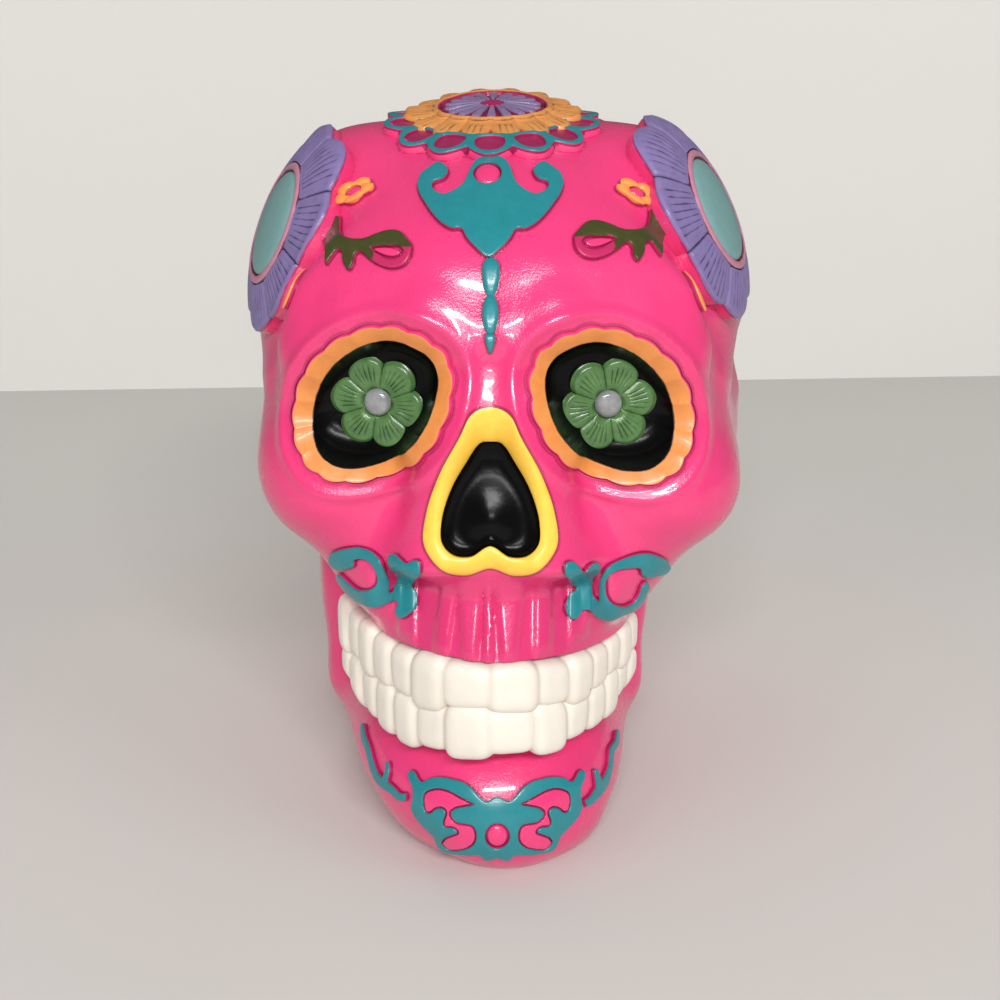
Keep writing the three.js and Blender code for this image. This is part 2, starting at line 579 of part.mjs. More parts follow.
// Chin: a crest with curled openings, a button, and a wavy ribbon along each side of the jaw
const chinSeat = { at: [1.3, -65.1, 15.2], out: [0.03, -0.85, 0.53] };
const chinHalf = [
  [0, 3.3], [2.05, 2.5], [3.25, 3.35], [4.6, 4.9], [6.3, 6], [8.2, 6.55], [10.5, 6.95], [13.8, 6.1],
  [15.4, 8.1], [16.3, 8.3], [16.5, 7.2], [15.6, 5], [15.9, 1.6], [15.3, 0.1], [12.5, -2.9],
  [11.2, -5.2], [10.1, -6.4], [5.5, -7.05], [3.3, -7.05], [1.8, -7.9], [0, -7.5],
];
const chinOpening = [
  [13.6, 2.7], [13.3, 4.1], [12.3, 4.7], [10.5, 4.9], [8.7, 4.4], [5.1, 2.5], [4.1, 2], [7.5, 1.3],
  [8.4, 0.7], [8.4, 0], [7.3, -1.1], [4.4, -1.8], [3.8, -3], [4, -4.6], [5.2, -5.7], [7.2, -6.2],
  [9, -6.1], [10.2, -4.8], [7.2, -2.9], [9.6, -1.9], [9.9, -1.1], [9.4, 0.7], [10.2, 1.4],
  [12.2, 0.55], [13.1, 0.75],
];
const chinButton = shifted(lobed(12, 1.9, 0, 1), 0, -3.6);
const chinHole = shifted(lobed(12, 2.3, 0, 1), 0, -3.6);
const chinOpenings = [loop(chinOpening, 1), loop(flipped(chinOpening), 1)];
const chinCrest = plate([loop(bothSides(chinHalf), 1)], RELIEF, [...chinOpenings, chinHole]);
piece("chin_crest", laid(chinCrest, jaw, chinSeat), TEAL);
piece("chin_boss", laid(plate([chinButton], BOSS), jaw, chinSeat), PINK);
const waveSeats = {
  right: {
    at: [20.2, -52, 16.5],
    out: [0.25, -0.82, 0.5],
    line: [[8.3, 7.8, 0.9], [7, 5.5, 1.4], [4.8, 4.1, 1.3], [3.8, 1.3, 1.3], [1.9, -1.4, 1.9],
      [-0.3, -3, 2], [-2.3, -4.4, 1.5], [-3.9, -5, 1.4]],
    prong: [[-0.1, -2.6, 1.7], [-0.4, -0.7, 1.3], [-0.7, 1, 0.8]],
  },
  left: {
    at: [-21, -51.3, 17.3],
    out: [-0.25, -0.82, 0.5],
    line: [[-8.7, 7.2, 0.9], [-7.3, 4.9, 1.4], [-4.8, 2.4, 1.3], [-3.3, 0.1, 1.4], [-1.3, -2.2, 1.6],
      [0.9, -3.2, 1.8], [3.2, -4, 1.4], [5.4, -5, 1.3], [7, -4.8, 1.3]],
    prong: [[1, -3, 1.5], [1.7, -1, 1.1], [1.4, 0.9, 0.7]],
  },
};
for (const [side, seat] of Object.entries(waveSeats)) {
  const wave = plate([ribbon(seat.line, 1), ribbon(seat.prong, 1)], RELIEF);
  piece("chin_wave_" + side, laid(wave, jaw, seat), TEAL);
}

export default root;
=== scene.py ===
# Painted cast-resin sugar skull: pink lacquered bone, raised flowers and scrolls, white teeth.
# Pieces are shaped in millimetres and written in metres. The face looks toward -Y.
import math
import bpy
import numpy as np
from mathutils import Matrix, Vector, kdtree


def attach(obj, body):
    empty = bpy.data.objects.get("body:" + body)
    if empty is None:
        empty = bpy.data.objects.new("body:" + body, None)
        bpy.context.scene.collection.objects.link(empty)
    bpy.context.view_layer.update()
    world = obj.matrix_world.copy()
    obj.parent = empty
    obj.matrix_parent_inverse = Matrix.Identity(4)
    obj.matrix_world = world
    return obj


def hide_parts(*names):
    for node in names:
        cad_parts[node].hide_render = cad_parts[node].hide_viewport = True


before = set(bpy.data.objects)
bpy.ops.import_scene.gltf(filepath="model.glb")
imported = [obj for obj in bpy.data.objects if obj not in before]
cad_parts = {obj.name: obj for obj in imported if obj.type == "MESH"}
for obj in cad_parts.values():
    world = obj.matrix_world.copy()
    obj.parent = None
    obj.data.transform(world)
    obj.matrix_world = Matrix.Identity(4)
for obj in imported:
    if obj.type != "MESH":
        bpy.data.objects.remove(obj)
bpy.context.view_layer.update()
MM = 0.001


# Masses of the bone: an egg has a centre and radii, a bar two ends and a radius
def egg(c, r, soft):
    return {"c": np.array(c, float), "r": np.array(r, float), "soft": soft}


def bar(a, b, r, soft):
    return {"a": np.array(a, float), "b": np.array(b, float), "r": r, "soft": soft}


SKULL_MASSES = [
    egg((0, 11, 91), (53, 56.7, 46.2), 1),  # vault
    egg((0, -18, 104), (42, 37, 29.5), 14),  # forehead
    egg((0, 29, 62), (39, 35, 36), 20),  # back of the head
    egg((0, 6, 32), (30, 34, 37), 18),  # underside
    egg((0, -15, 83), (45, 38, 31), 14),  # middle of the face
    bar((9, -45, 109), (30, -38, 107), 7.5, 12),  # brow
    bar((3, -54.6, 103.6), (11, -53, 106.8), 3.4, 5),  # ridge over the eye, inner third
    bar((11, -53, 106.8), (24, -46.8, 105), 3.4, 5),  # middle third
    bar((24, -46.8, 105), (33.5, -41, 98.5), 3.4, 5),  # outer third
    egg((20.4, -43, 91), (17, 10, 15.5), 8),  # ground around the eye
    egg((29, -37, 72), (16.5, 16, 14), 12),  # cheekbone
    bar((38, -26, 75), (47, 8, 80), 5.5, 8),  # cheek arch
    egg((0, -31, 57), (33, 35, 19), 9),  # upper jaw
    bar((0, -46, 100), (0, -58, 76), 8, 9),  # bridge of the nose
    bar((10.5, -58.5, 62), (4.5, -55.5, 90), 6, 7),  # side of the nose
    egg((0, -30, 36), (28, 36, 20), 5),  # bone behind the teeth
]
SKULL_HOLLOWS = [
    egg((60.5, -14, 85), (12, 34, 12), 8),  # behind the cheekbone
    egg((45, -32, 46), (11, 15, 11), 6),  # under the cheekbone
]
JAW_MASSES = [
    egg((0, -32, 14), (26.5, 32, 18), 1),  # arch that carries the teeth
    egg((0, -48.5, 10), (16, 16.2, 13), 8),  # chin
    bar((11, -45, 8), (25, -10, 15), 8.5, 8),  # lower border
    egg((31, -4, 41), (5, 13.5, 25), 8),  # rising branch
]
LEAN_SHIFT, LEAN_FROM, LEAN_OVER = 2.8, -58, 48  # the back of the jaw sits askew
CHIN_SHIFT, CHIN_TALL = 2.4, 14  # and so does the underside of the chin
CHEEK_SWAY = 1.2  # one cheek stands out more than the other
BALL_R, BALL_FULL, BALL_NONE = 44, 18, 30  # the bone under a temple flower is part of a ball
LACQUER_DEPTH = 0.2  # the bare casting lies this far under the painted skin that ornaments sit on
SKULL_CENTRE = np.array((0, -2, 72.0))
JAW_CENTRE = np.array((0, -20, 18.0))
SKIN_FROM, SEAT_ABOVE = 135, 25.0  # how far out the lines to the bone start, from a centre and from a seat

# Teeth, eyes, nose and the round flowers
UPPER_WIDTHS = [9.4, 8.2, 7, 6.4, 5.8, 5.4, 4.8]
LOWER_WIDTHS = [9, 8, 7.2, 6.6, 6, 5.4, 4.8]
ARCH_FRONT, ARCH_BEND = -68, 27.5
GUM, BITE, ROOT, ROW_DEEP = 45.6, 38, 28, 5
TOOTH_HALF_DEEP, TOOTH_HALF_TALL, TOOTH_OVERLAP = 3.7, 4.5, 1.12
SLOT_GAP, SLOT_LIP, SLOT_OPEN = 0.3, 0.35, 14  # room behind the rows, above and below, and to the front
ROW_TILT = [1.5, -2, 2.5, -1, 1.5, -2, 0]
# Roots over the front teeth: middle, half width, and how far each drifts and widens higher up
ROOT_RIDGES = [
    (-0.4, 0.8, 0, 0),
    (-3.7, 1.4, 0, 0.9),
    (3.4, 1.4, 0, 1.2),
    (-9, 1.5, 1.4, 0),
    (9.4, 1.6, 0, 0),
    (-15.6, 2, 0, 0),
    (16, 2, 0, 0),
]
RIDGE_HIGH = 0.85
RAMP_RISE = 0.4  # how far the bone over the teeth falls back for each millimetre of height
EYE = {"at": (21, -52.8, 91), "out": (0.2, -0.98, 0.02)}
EYE_LONG, EYE_SQUASH, EYE_LEAN, EYE_SCALLOPS = 17.5, 0.75, -37, 17
NOSE = {"at": (0, -65.2, 76), "out": (0, -0.97, 0.24)}
CROWN = {"at": (-1, -14.2, 137), "out": (0, -0.15, 0.989)}
CROWN_R, CROWN_LOOPS, CROWN_PETALS, CROWN_RAYS = 20.9, 14, 16, 18
TEMPLE = {"at": (42.6, -18.4, 117.4), "out": (0.865, -0.3, 0.402)}
TEMPLE_R, TEMPLE_PETALS, TEMPLE_TURN = 20.5, 8, 13
BROW_FLOWER = {"at": (25.3, -34, 124.9), "out": (0.36, -0.55, 0.75)}
RELIEF, SUNK = 0.75, -0.4  # height of the raised ornaments, and how deep their feet are sunk


# Distances to the bone, worked out for many points at once
def length(v):
    return np.sqrt(np.einsum("ij,ij->i", v, v))


def smooth_step(a, b, x):
    t = np.clip((x - a) / (b - a), 0, 1)
    return t * t * (3 - 2 * t)


def to_mass(p, m):
    if "c" in m:
        q = (p - m["c"]) / m["r"]
        near = length(q)
        return near * (near - 1) / np.maximum(length(q / m["r"]), 1e-9)
    along = m["b"] - m["a"]
    t = np.clip((p - m["a"]) @ along / (along @ along), 0, 1)
    return length(p - m["a"] - t[:, None] * along) - m["r"]


def join(a, b, soft):
    h = np.maximum(soft - np.abs(a - b), 0) / soft
    return np.minimum(a, b) - h * h * soft / 4


def to_bone(p, masses, hollows):
    q = np.column_stack([np.hypot(p[:, 0], 1), p[:, 1], p[:, 2]])
    d = to_mass(q, masses[0])
    for m in masses[1:]:
        d = join(d, to_mass(q, m), m["soft"])
    for m in hollows:
        d = -join(-d, to_mass(q, m), m["soft"])
    return d


# Right, up and outward directions of a drawing board that faces the given way
def board(out):
    n = np.array(out, float) / math.hypot(*out)
    up = np.array((0, 1.0, 0)) if abs(n[2]) > 0.9 else np.array((0, 0, 1.0))
    v = up - n * (n @ up)
    v /= math.hypot(*v)
    return np.cross(v, n), v, n


# The roots of the front teeth show as flat ridges
def root_ridges(p):
    x, y, z = p[:, 0], p[:, 1], p[:, 2]
    rise = smooth_step(46, 49, z) * (1 - smooth_step(58, 62, z)) * (1 - smooth_step(-50, -42, y))
    up = smooth_step(47, 60, z)
    ridges = np.zeros(len(p))
    for middle, wide, drift, spread in ROOT_RIDGES:
        ridges += 1 - smooth_step(0.55, 1.25, np.abs(x - (middle + drift * up)) / (wide + spread * up))
    return RIDGE_HIGH * rise * ridges


# Where the ramp over the upper teeth holds, from 0 to 1
def ramp_share(p):
    x, y, z = p[:, 0], p[:, 1], p[:, 2]
    share = smooth_step(36, 40, z) * (1 - smooth_step(57, 64.5, z))
    return share * (1 - smooth_step(15, 23, np.abs(x))) * (1 - smooth_step(-54, -46, y))


# The bone over the upper teeth runs forward to them like a ramp
def gum_ramp(p, d):
    x, y, z = p[:, 0], p[:, 1], p[:, 2]
    front = ARCH_FRONT + 1 + x * x / ARCH_BEND + RAMP_RISE * np.maximum(z - GUM, 0)
    ramp = (front - y) / np.sqrt(1 + RAMP_RISE**2 + (2 * x / ARCH_BEND) ** 2)
    return d + ramp_share(p) * (ramp - d)


# A soft welt runs round each eye, and the cheekbone swells under it
def eye_welts(p):
    q = np.column_stack([np.abs(p[:, 0]), p[:, 1], p[:, 2]]) - EYE["at"]
    u, v, n = board(EYE["out"])
    a = math.radians(EYE_LEAN)
    along = (q @ u) * math.cos(a) + (q @ v) * math.sin(a)
    across = (q @ v) * math.cos(a) - (q @ u) * math.sin(a)
    outside = (np.hypot(along, across / EYE_SQUASH) / EYE_LONG - 1) * 15.5
    near = 1 - smooth_step(8, 14, np.abs(q @ n))
    welt = (0.55 + 0.3 * smooth_step(-6, 10, q @ v)) * np.exp(-(((outside - 2.5) / 1.15) ** 2))
    swell = 0.9 * np.exp(-((((q @ u) - 11) / 8) ** 2) - (((q @ v) + 20) / 5) ** 2)
    return near * (welt + swell)


# Under each temple flower the bone follows a ball that touches the middle of the flower
def temple_domes(p, d):
    out = np.array(TEMPLE["out"]) / math.hypot(*TEMPLE["out"])
    q = np.column_stack([np.abs(p[:, 0]), p[:, 1], p[:, 2]]) - TEMPLE["at"]
    off_axis = length(q - (q @ out)[:, None] * out)
    share = 1 - smooth_step(BALL_FULL, BALL_NONE, off_axis)
    return d + share * (length(q + BALL_R * out) - BALL_R - d)


def skull(p):
    q = p.copy()
    q[:, 0] -= CHEEK_SWAY * smooth_step(12, 40, np.abs(p[:, 0])) * (1 - smooth_step(66, 84, p[:, 2]))
    bone = gum_ramp(p, temple_domes(p, to_bone(q, SKULL_MASSES, SKULL_HOLLOWS)))
    return bone - root_ridges(p) - eye_welts(p)


def back_of_row(y):
    return np.clip((y - LEAN_FROM) / LEAN_OVER, 0, 1.2)


def jaw(p):
    back = back_of_row(p[:, 1])
    q = p.copy()
    q[:, 0] += LEAN_SHIFT * back - CHIN_SHIFT * np.clip(1 - p[:, 2] / CHIN_TALL, 0, 1) * (1 - back / 1.2)
    return to_bone(q, JAW_MASSES, [])


def slope(field, p):
    steps = 0.2 * np.eye(3)
    g = np.column_stack([field(p + s) - field(p - s) for s in steps])
    return g / np.maximum(length(g), 1e-9)[:, None]


# First skin along each line; a line that just misses is drawn in to the nearest skin
def strike(field, start, way, turns=80):
    t = np.zeros(len(start))
    best = np.full(len(start), np.inf)
    best_t = t.copy()
    live = np.arange(len(start))
    for _ in range(turns):
        d = field(start[live] + way[live] * t[live, None])
        closer = np.abs(d) < best[live]
        best[live[closer]] = np.abs(d[closer])
        best_t[live[closer]] = t[live[closer]]
        t[live] += np.clip(0.6 * d, -3, 25)
        live = live[(np.abs(d) > 1e-3) & (t[live] < 160)]
        if not len(live):
            break
    p = start + way * best_t[:, None]
    lost = best > 0.01
    for _ in range(10):
        if lost.any():
            p[lost] -= slope(field, p[lost]) * field(p[lost])[:, None]
    return p


# A drawing board over the bone: u to the right, v up, n out of it
class Seat:
    def __init__(self, at, out, field=skull):
        self.at = np.array(at, float)
        self.u, self.v, self.n = board(out)
        self.field = field

    def stand(self, p):
        return self.at + p[:, :1] * self.u + p[:, 1:2] * self.v + p[:, 2:] * self.n

    def hits(self, uv):
        start = self.stand(np.column_stack([uv, np.full(len(uv), SEAT_ABOVE)]))
        return strike(self.field, start, np.broadcast_to(-self.n, start.shape))

    def heights(self, uv):
        return (self.hits(uv) - self.at) @ self.n

    # Bends flat points on to the bone, through a fine net of places on it
    def lay(self, p, step=0.6):
        low = p[:, :2].min(0) - step
        count = np.ceil((p[:, :2].max(0) + step - low) / step).astype(int) + 1
        axes = [low[i] + step * np.arange(count[i]) for i in (0, 1)]
        grid = np.stack(np.meshgrid(*axes, indexing="ij"), -1)
        net = self.hits(grid.reshape(-1, 2))
        lift = slope(self.field, net)
        place = (p[:, :2] - low) / step
        cell = np.clip(place.astype(int), 0, count - 2)
        part = place - cell
        spot = np.zeros((len(p), 3))
        rise = np.zeros((len(p), 3))
        for i in (0, 1):
            for j in (0, 1):
                share = (part[:, 0] if i else 1 - part[:, 0]) * (part[:, 1] if j else 1 - part[:, 1])
                k = (cell[:, 0] + i) * count[1] + cell[:, 1] + j
                spot += share[:, None] * net[k]
                rise += share[:, None] * lift[k]
        return spot + rise / length(rise)[:, None] * p[:, 2:]


# Handling of objects
def pick(*objects):
    bpy.ops.object.select_all(action="DESELECT")
    for obj in objects:
        obj.select_set(True)
    bpy.context.view_layer.objects.active = objects[0]


def points_of(obj):
    flat = np.empty(3 * len(obj.data.vertices))
    obj.data.vertices.foreach_get("co", flat)
    return flat.reshape(-1, 3)


def move_points(obj, points):
    obj.data.vertices.foreach_set("co", np.ascontiguousarray(points, float).ravel())
    obj.data.update()


def mark(obj, name, values):
    if name not in obj.data.attributes:
        obj.data.attributes.new(name, "FLOAT", "POINT")
    obj.data.attributes[name].data.foreach_set("value", np.asarray(values, float))


def marks_of(obj, name):
    values = np.empty(len(obj.data.vertices))
    obj.data.attributes[name].data.foreach_get("value", values)
    return values


def finish_with(obj, kind, **settings):
    modifier = obj.modifiers.new(kind.title(), kind)
    for key, value in settings.items():
        setattr(modifier, key, value)
    pick(obj)
    bpy.ops.object.modifier_apply(modifier=modifier.name)


def joined(objects):
    pick(*objects)
    bpy.ops.object.join()
    return objects[0]


def select_faces(obj, chosen):
    data = obj.data
    data.vertices.foreach_set("select", np.zeros(len(data.vertices), bool))
    data.edges.foreach_set("select", np.zeros(len(data.edges), bool))
    data.polygons.foreach_set("select", chosen)


# A grid rolled up between two outlines, or from an outline to one point, with its seam closed.
# height(u, v, t, k) gives its top, with t from 0 inside to 1 outside and k the place round it;
# lines(u, v, t, k) says where engraved lines run, and painted(u, v, t, k) where the brush reached.
def pad(outer, inner, height, low, rings, lines=None, painted=None):
    outer = np.asarray(outer, float)
    spokes = len(outer)
    inner = np.broadcast_to(np.asarray(inner, float), outer.shape)
    bpy.ops.object.select_all(action="DESELECT")
    bpy.ops.mesh.primitive_grid_add(x_subdivisions=spokes, y_subdivisions=rings, size=1)
    obj = bpy.context.object
    p = points_of(obj)
    k = np.rint((p[:, 0] + 0.5) * spokes).astype(int) % spokes
    t = np.rint((p[:, 1] + 0.5) * rings) / rings
    uv = inner[k] * (1 - t[:, None]) + outer[k] * t[:, None]
    h = np.broadcast_to(height(uv[:, 0], uv[:, 1], t, k / spokes), len(uv))
    move_points(obj, np.column_stack([uv, h]))
    place = (uv[:, 0], uv[:, 1], t, k / spokes)
    mark(obj, "top", painted(*place) if painted else np.ones(len(uv)))
    mark(obj, "line", lines(*place) if lines else np.zeros(len(uv)))
    pick(obj)
    bpy.ops.object.mode_set(mode="EDIT")
    bpy.ops.mesh.select_all(action="SELECT")
    bpy.ops.mesh.remove_doubles(threshold=1e-4)
    bpy.ops.mesh.select_mode(type="EDGE")
    bpy.ops.mesh.select_all(action="DESELECT")
    bpy.ops.mesh.select_non_manifold(extend=False, use_wire=False, use_multi_face=False,
                                     use_non_contiguous=False, use_verts=False)
    bpy.ops.mesh.extrude_region_move()
    bpy.ops.object.mode_set(mode="OBJECT")
    foot = np.empty(len(obj.data.vertices), bool)
    obj.data.vertices.foreach_get("select", foot)
    p = points_of(obj)
    p[foot, 2] = low
    move_points(obj, p)
    mark(obj, "top", np.where(foot, 0, marks_of(obj, "top")))
    bpy.ops.object.mode_set(mode="EDIT")
    if np.ptp(inner, axis=0).max() > 0:
        bpy.ops.mesh.bridge_edge_loops()
    else:
        bpy.ops.mesh.edge_face_add()
    bpy.ops.mesh.select_all(action="SELECT")
    bpy.ops.mesh.normals_make_consistent(inside=False)
    bpy.ops.object.mode_set(mode="OBJECT")
    return obj


# Sheets cut to outlines, run together into one piece and rubbed down until their edges are soft.
# Each shape is an outline followed by its holes.
def cut_out(shapes, low, high, grain=0.18):
    blanks = []
    for rings in shapes:
        curve = bpy.data.curves.new("outline", "CURVE")
        curve.dimensions = "2D"
        curve.fill_mode = "BOTH"
        curve.extrude = (high - low) / 2
        for ring in rings:
            spline = curve.splines.new("POLY")
            spline.points.add(len(ring) - 1)
            flat = np.column_stack([ring, np.zeros(len(ring)), np.ones(len(ring))])
            spline.points.foreach_set("co", flat.ravel())
            spline.use_cyclic_u = True
        blank = bpy.data.objects.new("blank", curve)
        bpy.context.collection.objects.link(blank)
        pick(blank)
        bpy.ops.object.convert(target="MESH")
        blanks.append(bpy.context.object)
    obj = joined(blanks)
    finish_with(obj, "REMESH", mode="VOXEL", voxel_size=grain)
    finish_with(obj, "SMOOTH", factor=0.5, iterations=7)
    p = points_of(obj)
    level = p[:, 2] / (high - low) + 0.5
    p[:, 2] = low + level * (high - low)
    mark(obj, "top", smooth_step(0.5, 0.85, level))
    move_points(obj, p)
    return obj


# Flat outlines
def lobed(count, radius, depth, steps, squash=1.0, lean=0.0, power=1.0):
    a = 2 * math.pi * np.arange(count * steps) / (count * steps)
    r = radius - depth * (1 - np.abs(np.sin(a * count / 2)) ** power)
    return turned(np.column_stack([r * np.cos(a), squash * r * np.sin(a)]), lean)


def disc(radius, at=(0, 0), steps=48):
    return lobed(1, radius, 0, steps) + at


def turned(outline, degrees):
    a = math.radians(degrees)
    return outline @ np.array([[math.cos(a), math.sin(a)], [-math.sin(a), math.cos(a)]])


def grown(outline, by):
    return outline * (1 + by / length(outline))[:, None]


# The outline drawn in on all sides
def inset(outline, by):
    ahead = np.roll(outline, -1, 0) - np.roll(outline, 1, 0)
    side = np.column_stack([-ahead[:, 1], ahead[:, 0]]) / np.maximum(length(ahead), 1e-6)[:, None]
    x, y = outline[:, 0], outline[:, 1]
    turn = np.sign(np.sum(x * np.roll(y, -1) - y * np.roll(x, -1)))
    return outline + side * by * turn


def flipped(points):
    return [(-p[0],) + tuple(p[1:]) for p in points]


def both_sides(half):
    return list(half) + flipped([p for p in half if p[0]])[::-1]


# A smooth line through points: each stretch is a cubic whose ends follow the neighbours
def through(points, steps, closed):
    p = np.array(points, float)
    if closed:
        p = np.vstack([p[-1:], p, p[:2]])
    else:
        p = np.vstack([2 * p[:1] - p[1:2], p, 2 * p[-1:] - p[-2:-1]])
    gaps = np.sqrt(np.maximum(length(np.diff(p[:, :2], axis=0)), 1e-6))
    knots = np.concatenate([[0], np.cumsum(gaps)])
    line = []
    for i in range(1, len(p) - 2):
        t0, t1, t2, t3 = knots[i - 1:i + 3]
        p0, p1, p2, p3 = p[i - 1:i + 3]
        for t in t1 + (t2 - t1) * np.arange(steps) / steps:
            a1 = p0 + (p1 - p0) * (t - t0) / (t1 - t0)
            a2 = p1 + (p2 - p1) * (t - t1) / (t2 - t1)
            a3 = p2 + (p3 - p2) * (t - t2) / (t3 - t2)
            b1 = a1 + (a2 - a1) * (t - t0) / (t2 - t0)
            b2 = a2 + (a3 - a2) * (t - t1) / (t3 - t1)
            line.append(b1 + (b2 - b1) * (t - t1) / (t2 - t1))
    if not closed:
        line.append(p[-2])
    return np.array(line)


def loop(points, steps=8):
    return through(points, steps, True)


# A ribbon through points that give u, v and the width there
def ribbon(points, steps=8):
    line = through(points, steps, False)
    ahead = np.gradient(line[:, :2], axis=0)
    side = np.column_stack([-ahead[:, 1], ahead[:, 0]]) / length(ahead)[:, None] * line[:, 2:] / 2
    return np.vstack([line[:, :2] + side, (line[:, :2] - side)[::-1]])


# Colours and materials
def paint(hex_colour):
    parts = [int(hex_colour[i:i + 2], 16) / 255 for i in (1, 3, 5)]
    linear = [c / 12.92 if c <= 0.04045 else ((c + 0.055) / 1.055) ** 2.4 for c in parts]
    return (*linear, 1.0)


def add(tree, kind, links=None, **settings):
    node = tree.nodes.new("ShaderNode" + kind)
    for key, value in settings.items():
        setattr(node, key, value)
    for key, value in (links or {}).items():
        if isinstance(value, bpy.types.NodeSocket):
            tree.links.new(value, node.inputs[key])
        else:
            node.inputs[key].default_value = value
    return node


# Scale of a pattern whose spots are so many millimetres across
def scale_for(millimetres):
    return 1 / (millimetres * MM)


# Sizes of the patterns in the paint and the paper, in millimetres
PINK_CLOUDS, PINK_SWELLS = 22.2, 5.9
PINK_GRAIN = 0.385  # drawn as coarse as it needs to show
BRUSH_MOTTLE = 2.38
RAGGED_EDGE = 0.25  # how far the brush's edge wanders, as a share of the step from wall to top
TOOTH_STAINS, TOOTH_PINHOLES, TOOTH_BRUSH = 7.7, 3.03, 1.43
PAPER_CLOUDS = 167


def blank_material(name):
    material = bpy.data.materials.new(name)
    material.use_nodes = True
    tree = material.node_tree
    tree.nodes.clear()
    return material, tree


# Gloss lacquer sprayed over the casting: slow hollows and swellings, a fine grain that breaks up the
# highlights, and a deep red beside the ornaments, partly lacquer pooled in the grooves and partly painted
# shade.
def pink_lacquer():
    material, tree = blank_material("pink_gloss_lacquer")
    place = add(tree, "TexCoord").outputs["Object"]
    cloud = add(tree, "TexNoise", {"Vector": place, "Scale": scale_for(PINK_CLOUDS), "Detail": 3})
    tint = add(tree, "Mix", {"Factor": cloud.outputs["Fac"], "A": paint("#E83E7B"),
                             "B": paint("#DA316E")}, data_type="RGBA")
    pool_and_shade = add(tree, "Attribute", attribute_name="groove")
    colour = add(tree, "Mix", {"Factor": pool_and_shade.outputs["Fac"], "A": tint.outputs["Result"],
                               "B": paint("#7E1240")}, data_type="RGBA")
    swell = add(tree, "TexNoise", {"Vector": place, "Scale": scale_for(PINK_SWELLS), "Detail": 2})
    grain = add(tree, "TexNoise", {"Vector": place, "Scale": scale_for(PINK_GRAIN), "Detail": 2})
    slow = add(tree, "Bump", {"Strength": 0.3, "Distance": 0.0008, "Height": swell.outputs["Fac"]})
    fine = add(tree, "Bump", {"Strength": 0.6, "Distance": 0.00012, "Height": grain.outputs["Fac"],
                              "Normal": slow.outputs["Normal"]})
    rough = add(tree, "MapRange", {"Value": cloud.outputs["Fac"], "To Min": 0.2, "To Max": 0.32})
    shader = add(tree, "BsdfPrincipled", {"Base Color": colour.outputs["Result"],
                                          "Roughness": rough.outputs["Result"], "IOR": 1.5,
                                          "Coat Weight": 0.5, "Coat Roughness": 0.08,
                                          "Normal": fine.outputs["Normal"]})
    add(tree, "OutputMaterial", {"Surface": shader.outputs["BSDF"]})
    return material


# Acrylic craft paint brushed on the raised tops, over the pink lacquer of the side walls: soft brush
# mottling, a ragged edge where the brush stopped and darker paint left in the engraved lines.
# The default wall pink is darker than the lacquer, partly pooled lacquer and partly painted shade.
def acrylic(name, colour, shade, rough, line, wall="#B8215A", shine=0.5):
    material, tree = blank_material(name)
    place = add(tree, "TexCoord").outputs["Object"]
    brush = add(tree, "TexNoise", {"Vector": place, "Scale": scale_for(BRUSH_MOTTLE), "Detail": 4,
                                   "Roughness": 0.6})
    mottled = add(tree, "Mix", {"Factor": brush.outputs["Fac"], "A": paint(colour),
                                "B": paint(shade)}, data_type="RGBA")
    top = add(tree, "Attribute", attribute_name="top")
    edge = add(tree, "MapRange", {"Value": brush.outputs["Fac"], "From Min": 0.3, "From Max": 0.7,
                                  "To Min": -RAGGED_EDGE, "To Max": RAGGED_EDGE})
    cover = add(tree, "Math", {0: top.outputs["Fac"], 1: edge.outputs["Result"]}, operation="ADD")
    crisp = add(tree, "MapRange", {"Value": cover.outputs["Value"], "From Min": 0.5, "From Max": 0.7})
    coat = add(tree, "Mix", {"Factor": crisp.outputs["Result"], "A": paint(wall),
                             "B": mottled.outputs["Result"]}, data_type="RGBA")
    engraved = add(tree, "Attribute", attribute_name="line")
    streak = add(tree, "Math", {0: engraved.outputs["Fac"], 1: edge.outputs["Result"]}, operation="ADD")
    thin = add(tree, "MapRange", {"Value": streak.outputs["Value"], "From Min": 0.35, "From Max": 0.85})
    cut = add(tree, "Mix", {"Factor": thin.outputs["Result"], "A": coat.outputs["Result"],
                            "B": paint(line)}, data_type="RGBA")
    bump = add(tree, "Bump", {"Strength": 0.3, "Distance": 0.0002, "Height": brush.outputs["Fac"]})
    shader = add(tree, "BsdfPrincipled", {"Base Color": cut.outputs["Result"], "Roughness": rough,
                                          "IOR": 1.48, "Specular IOR Level": shine,
                                          "Coat Weight": 0.4 * shine, "Coat Roughness": 0.12,
                                          "Normal": bump.outputs["Normal"]})
    add(tree, "OutputMaterial", {"Surface": shader.outputs["BSDF"]})
    return material
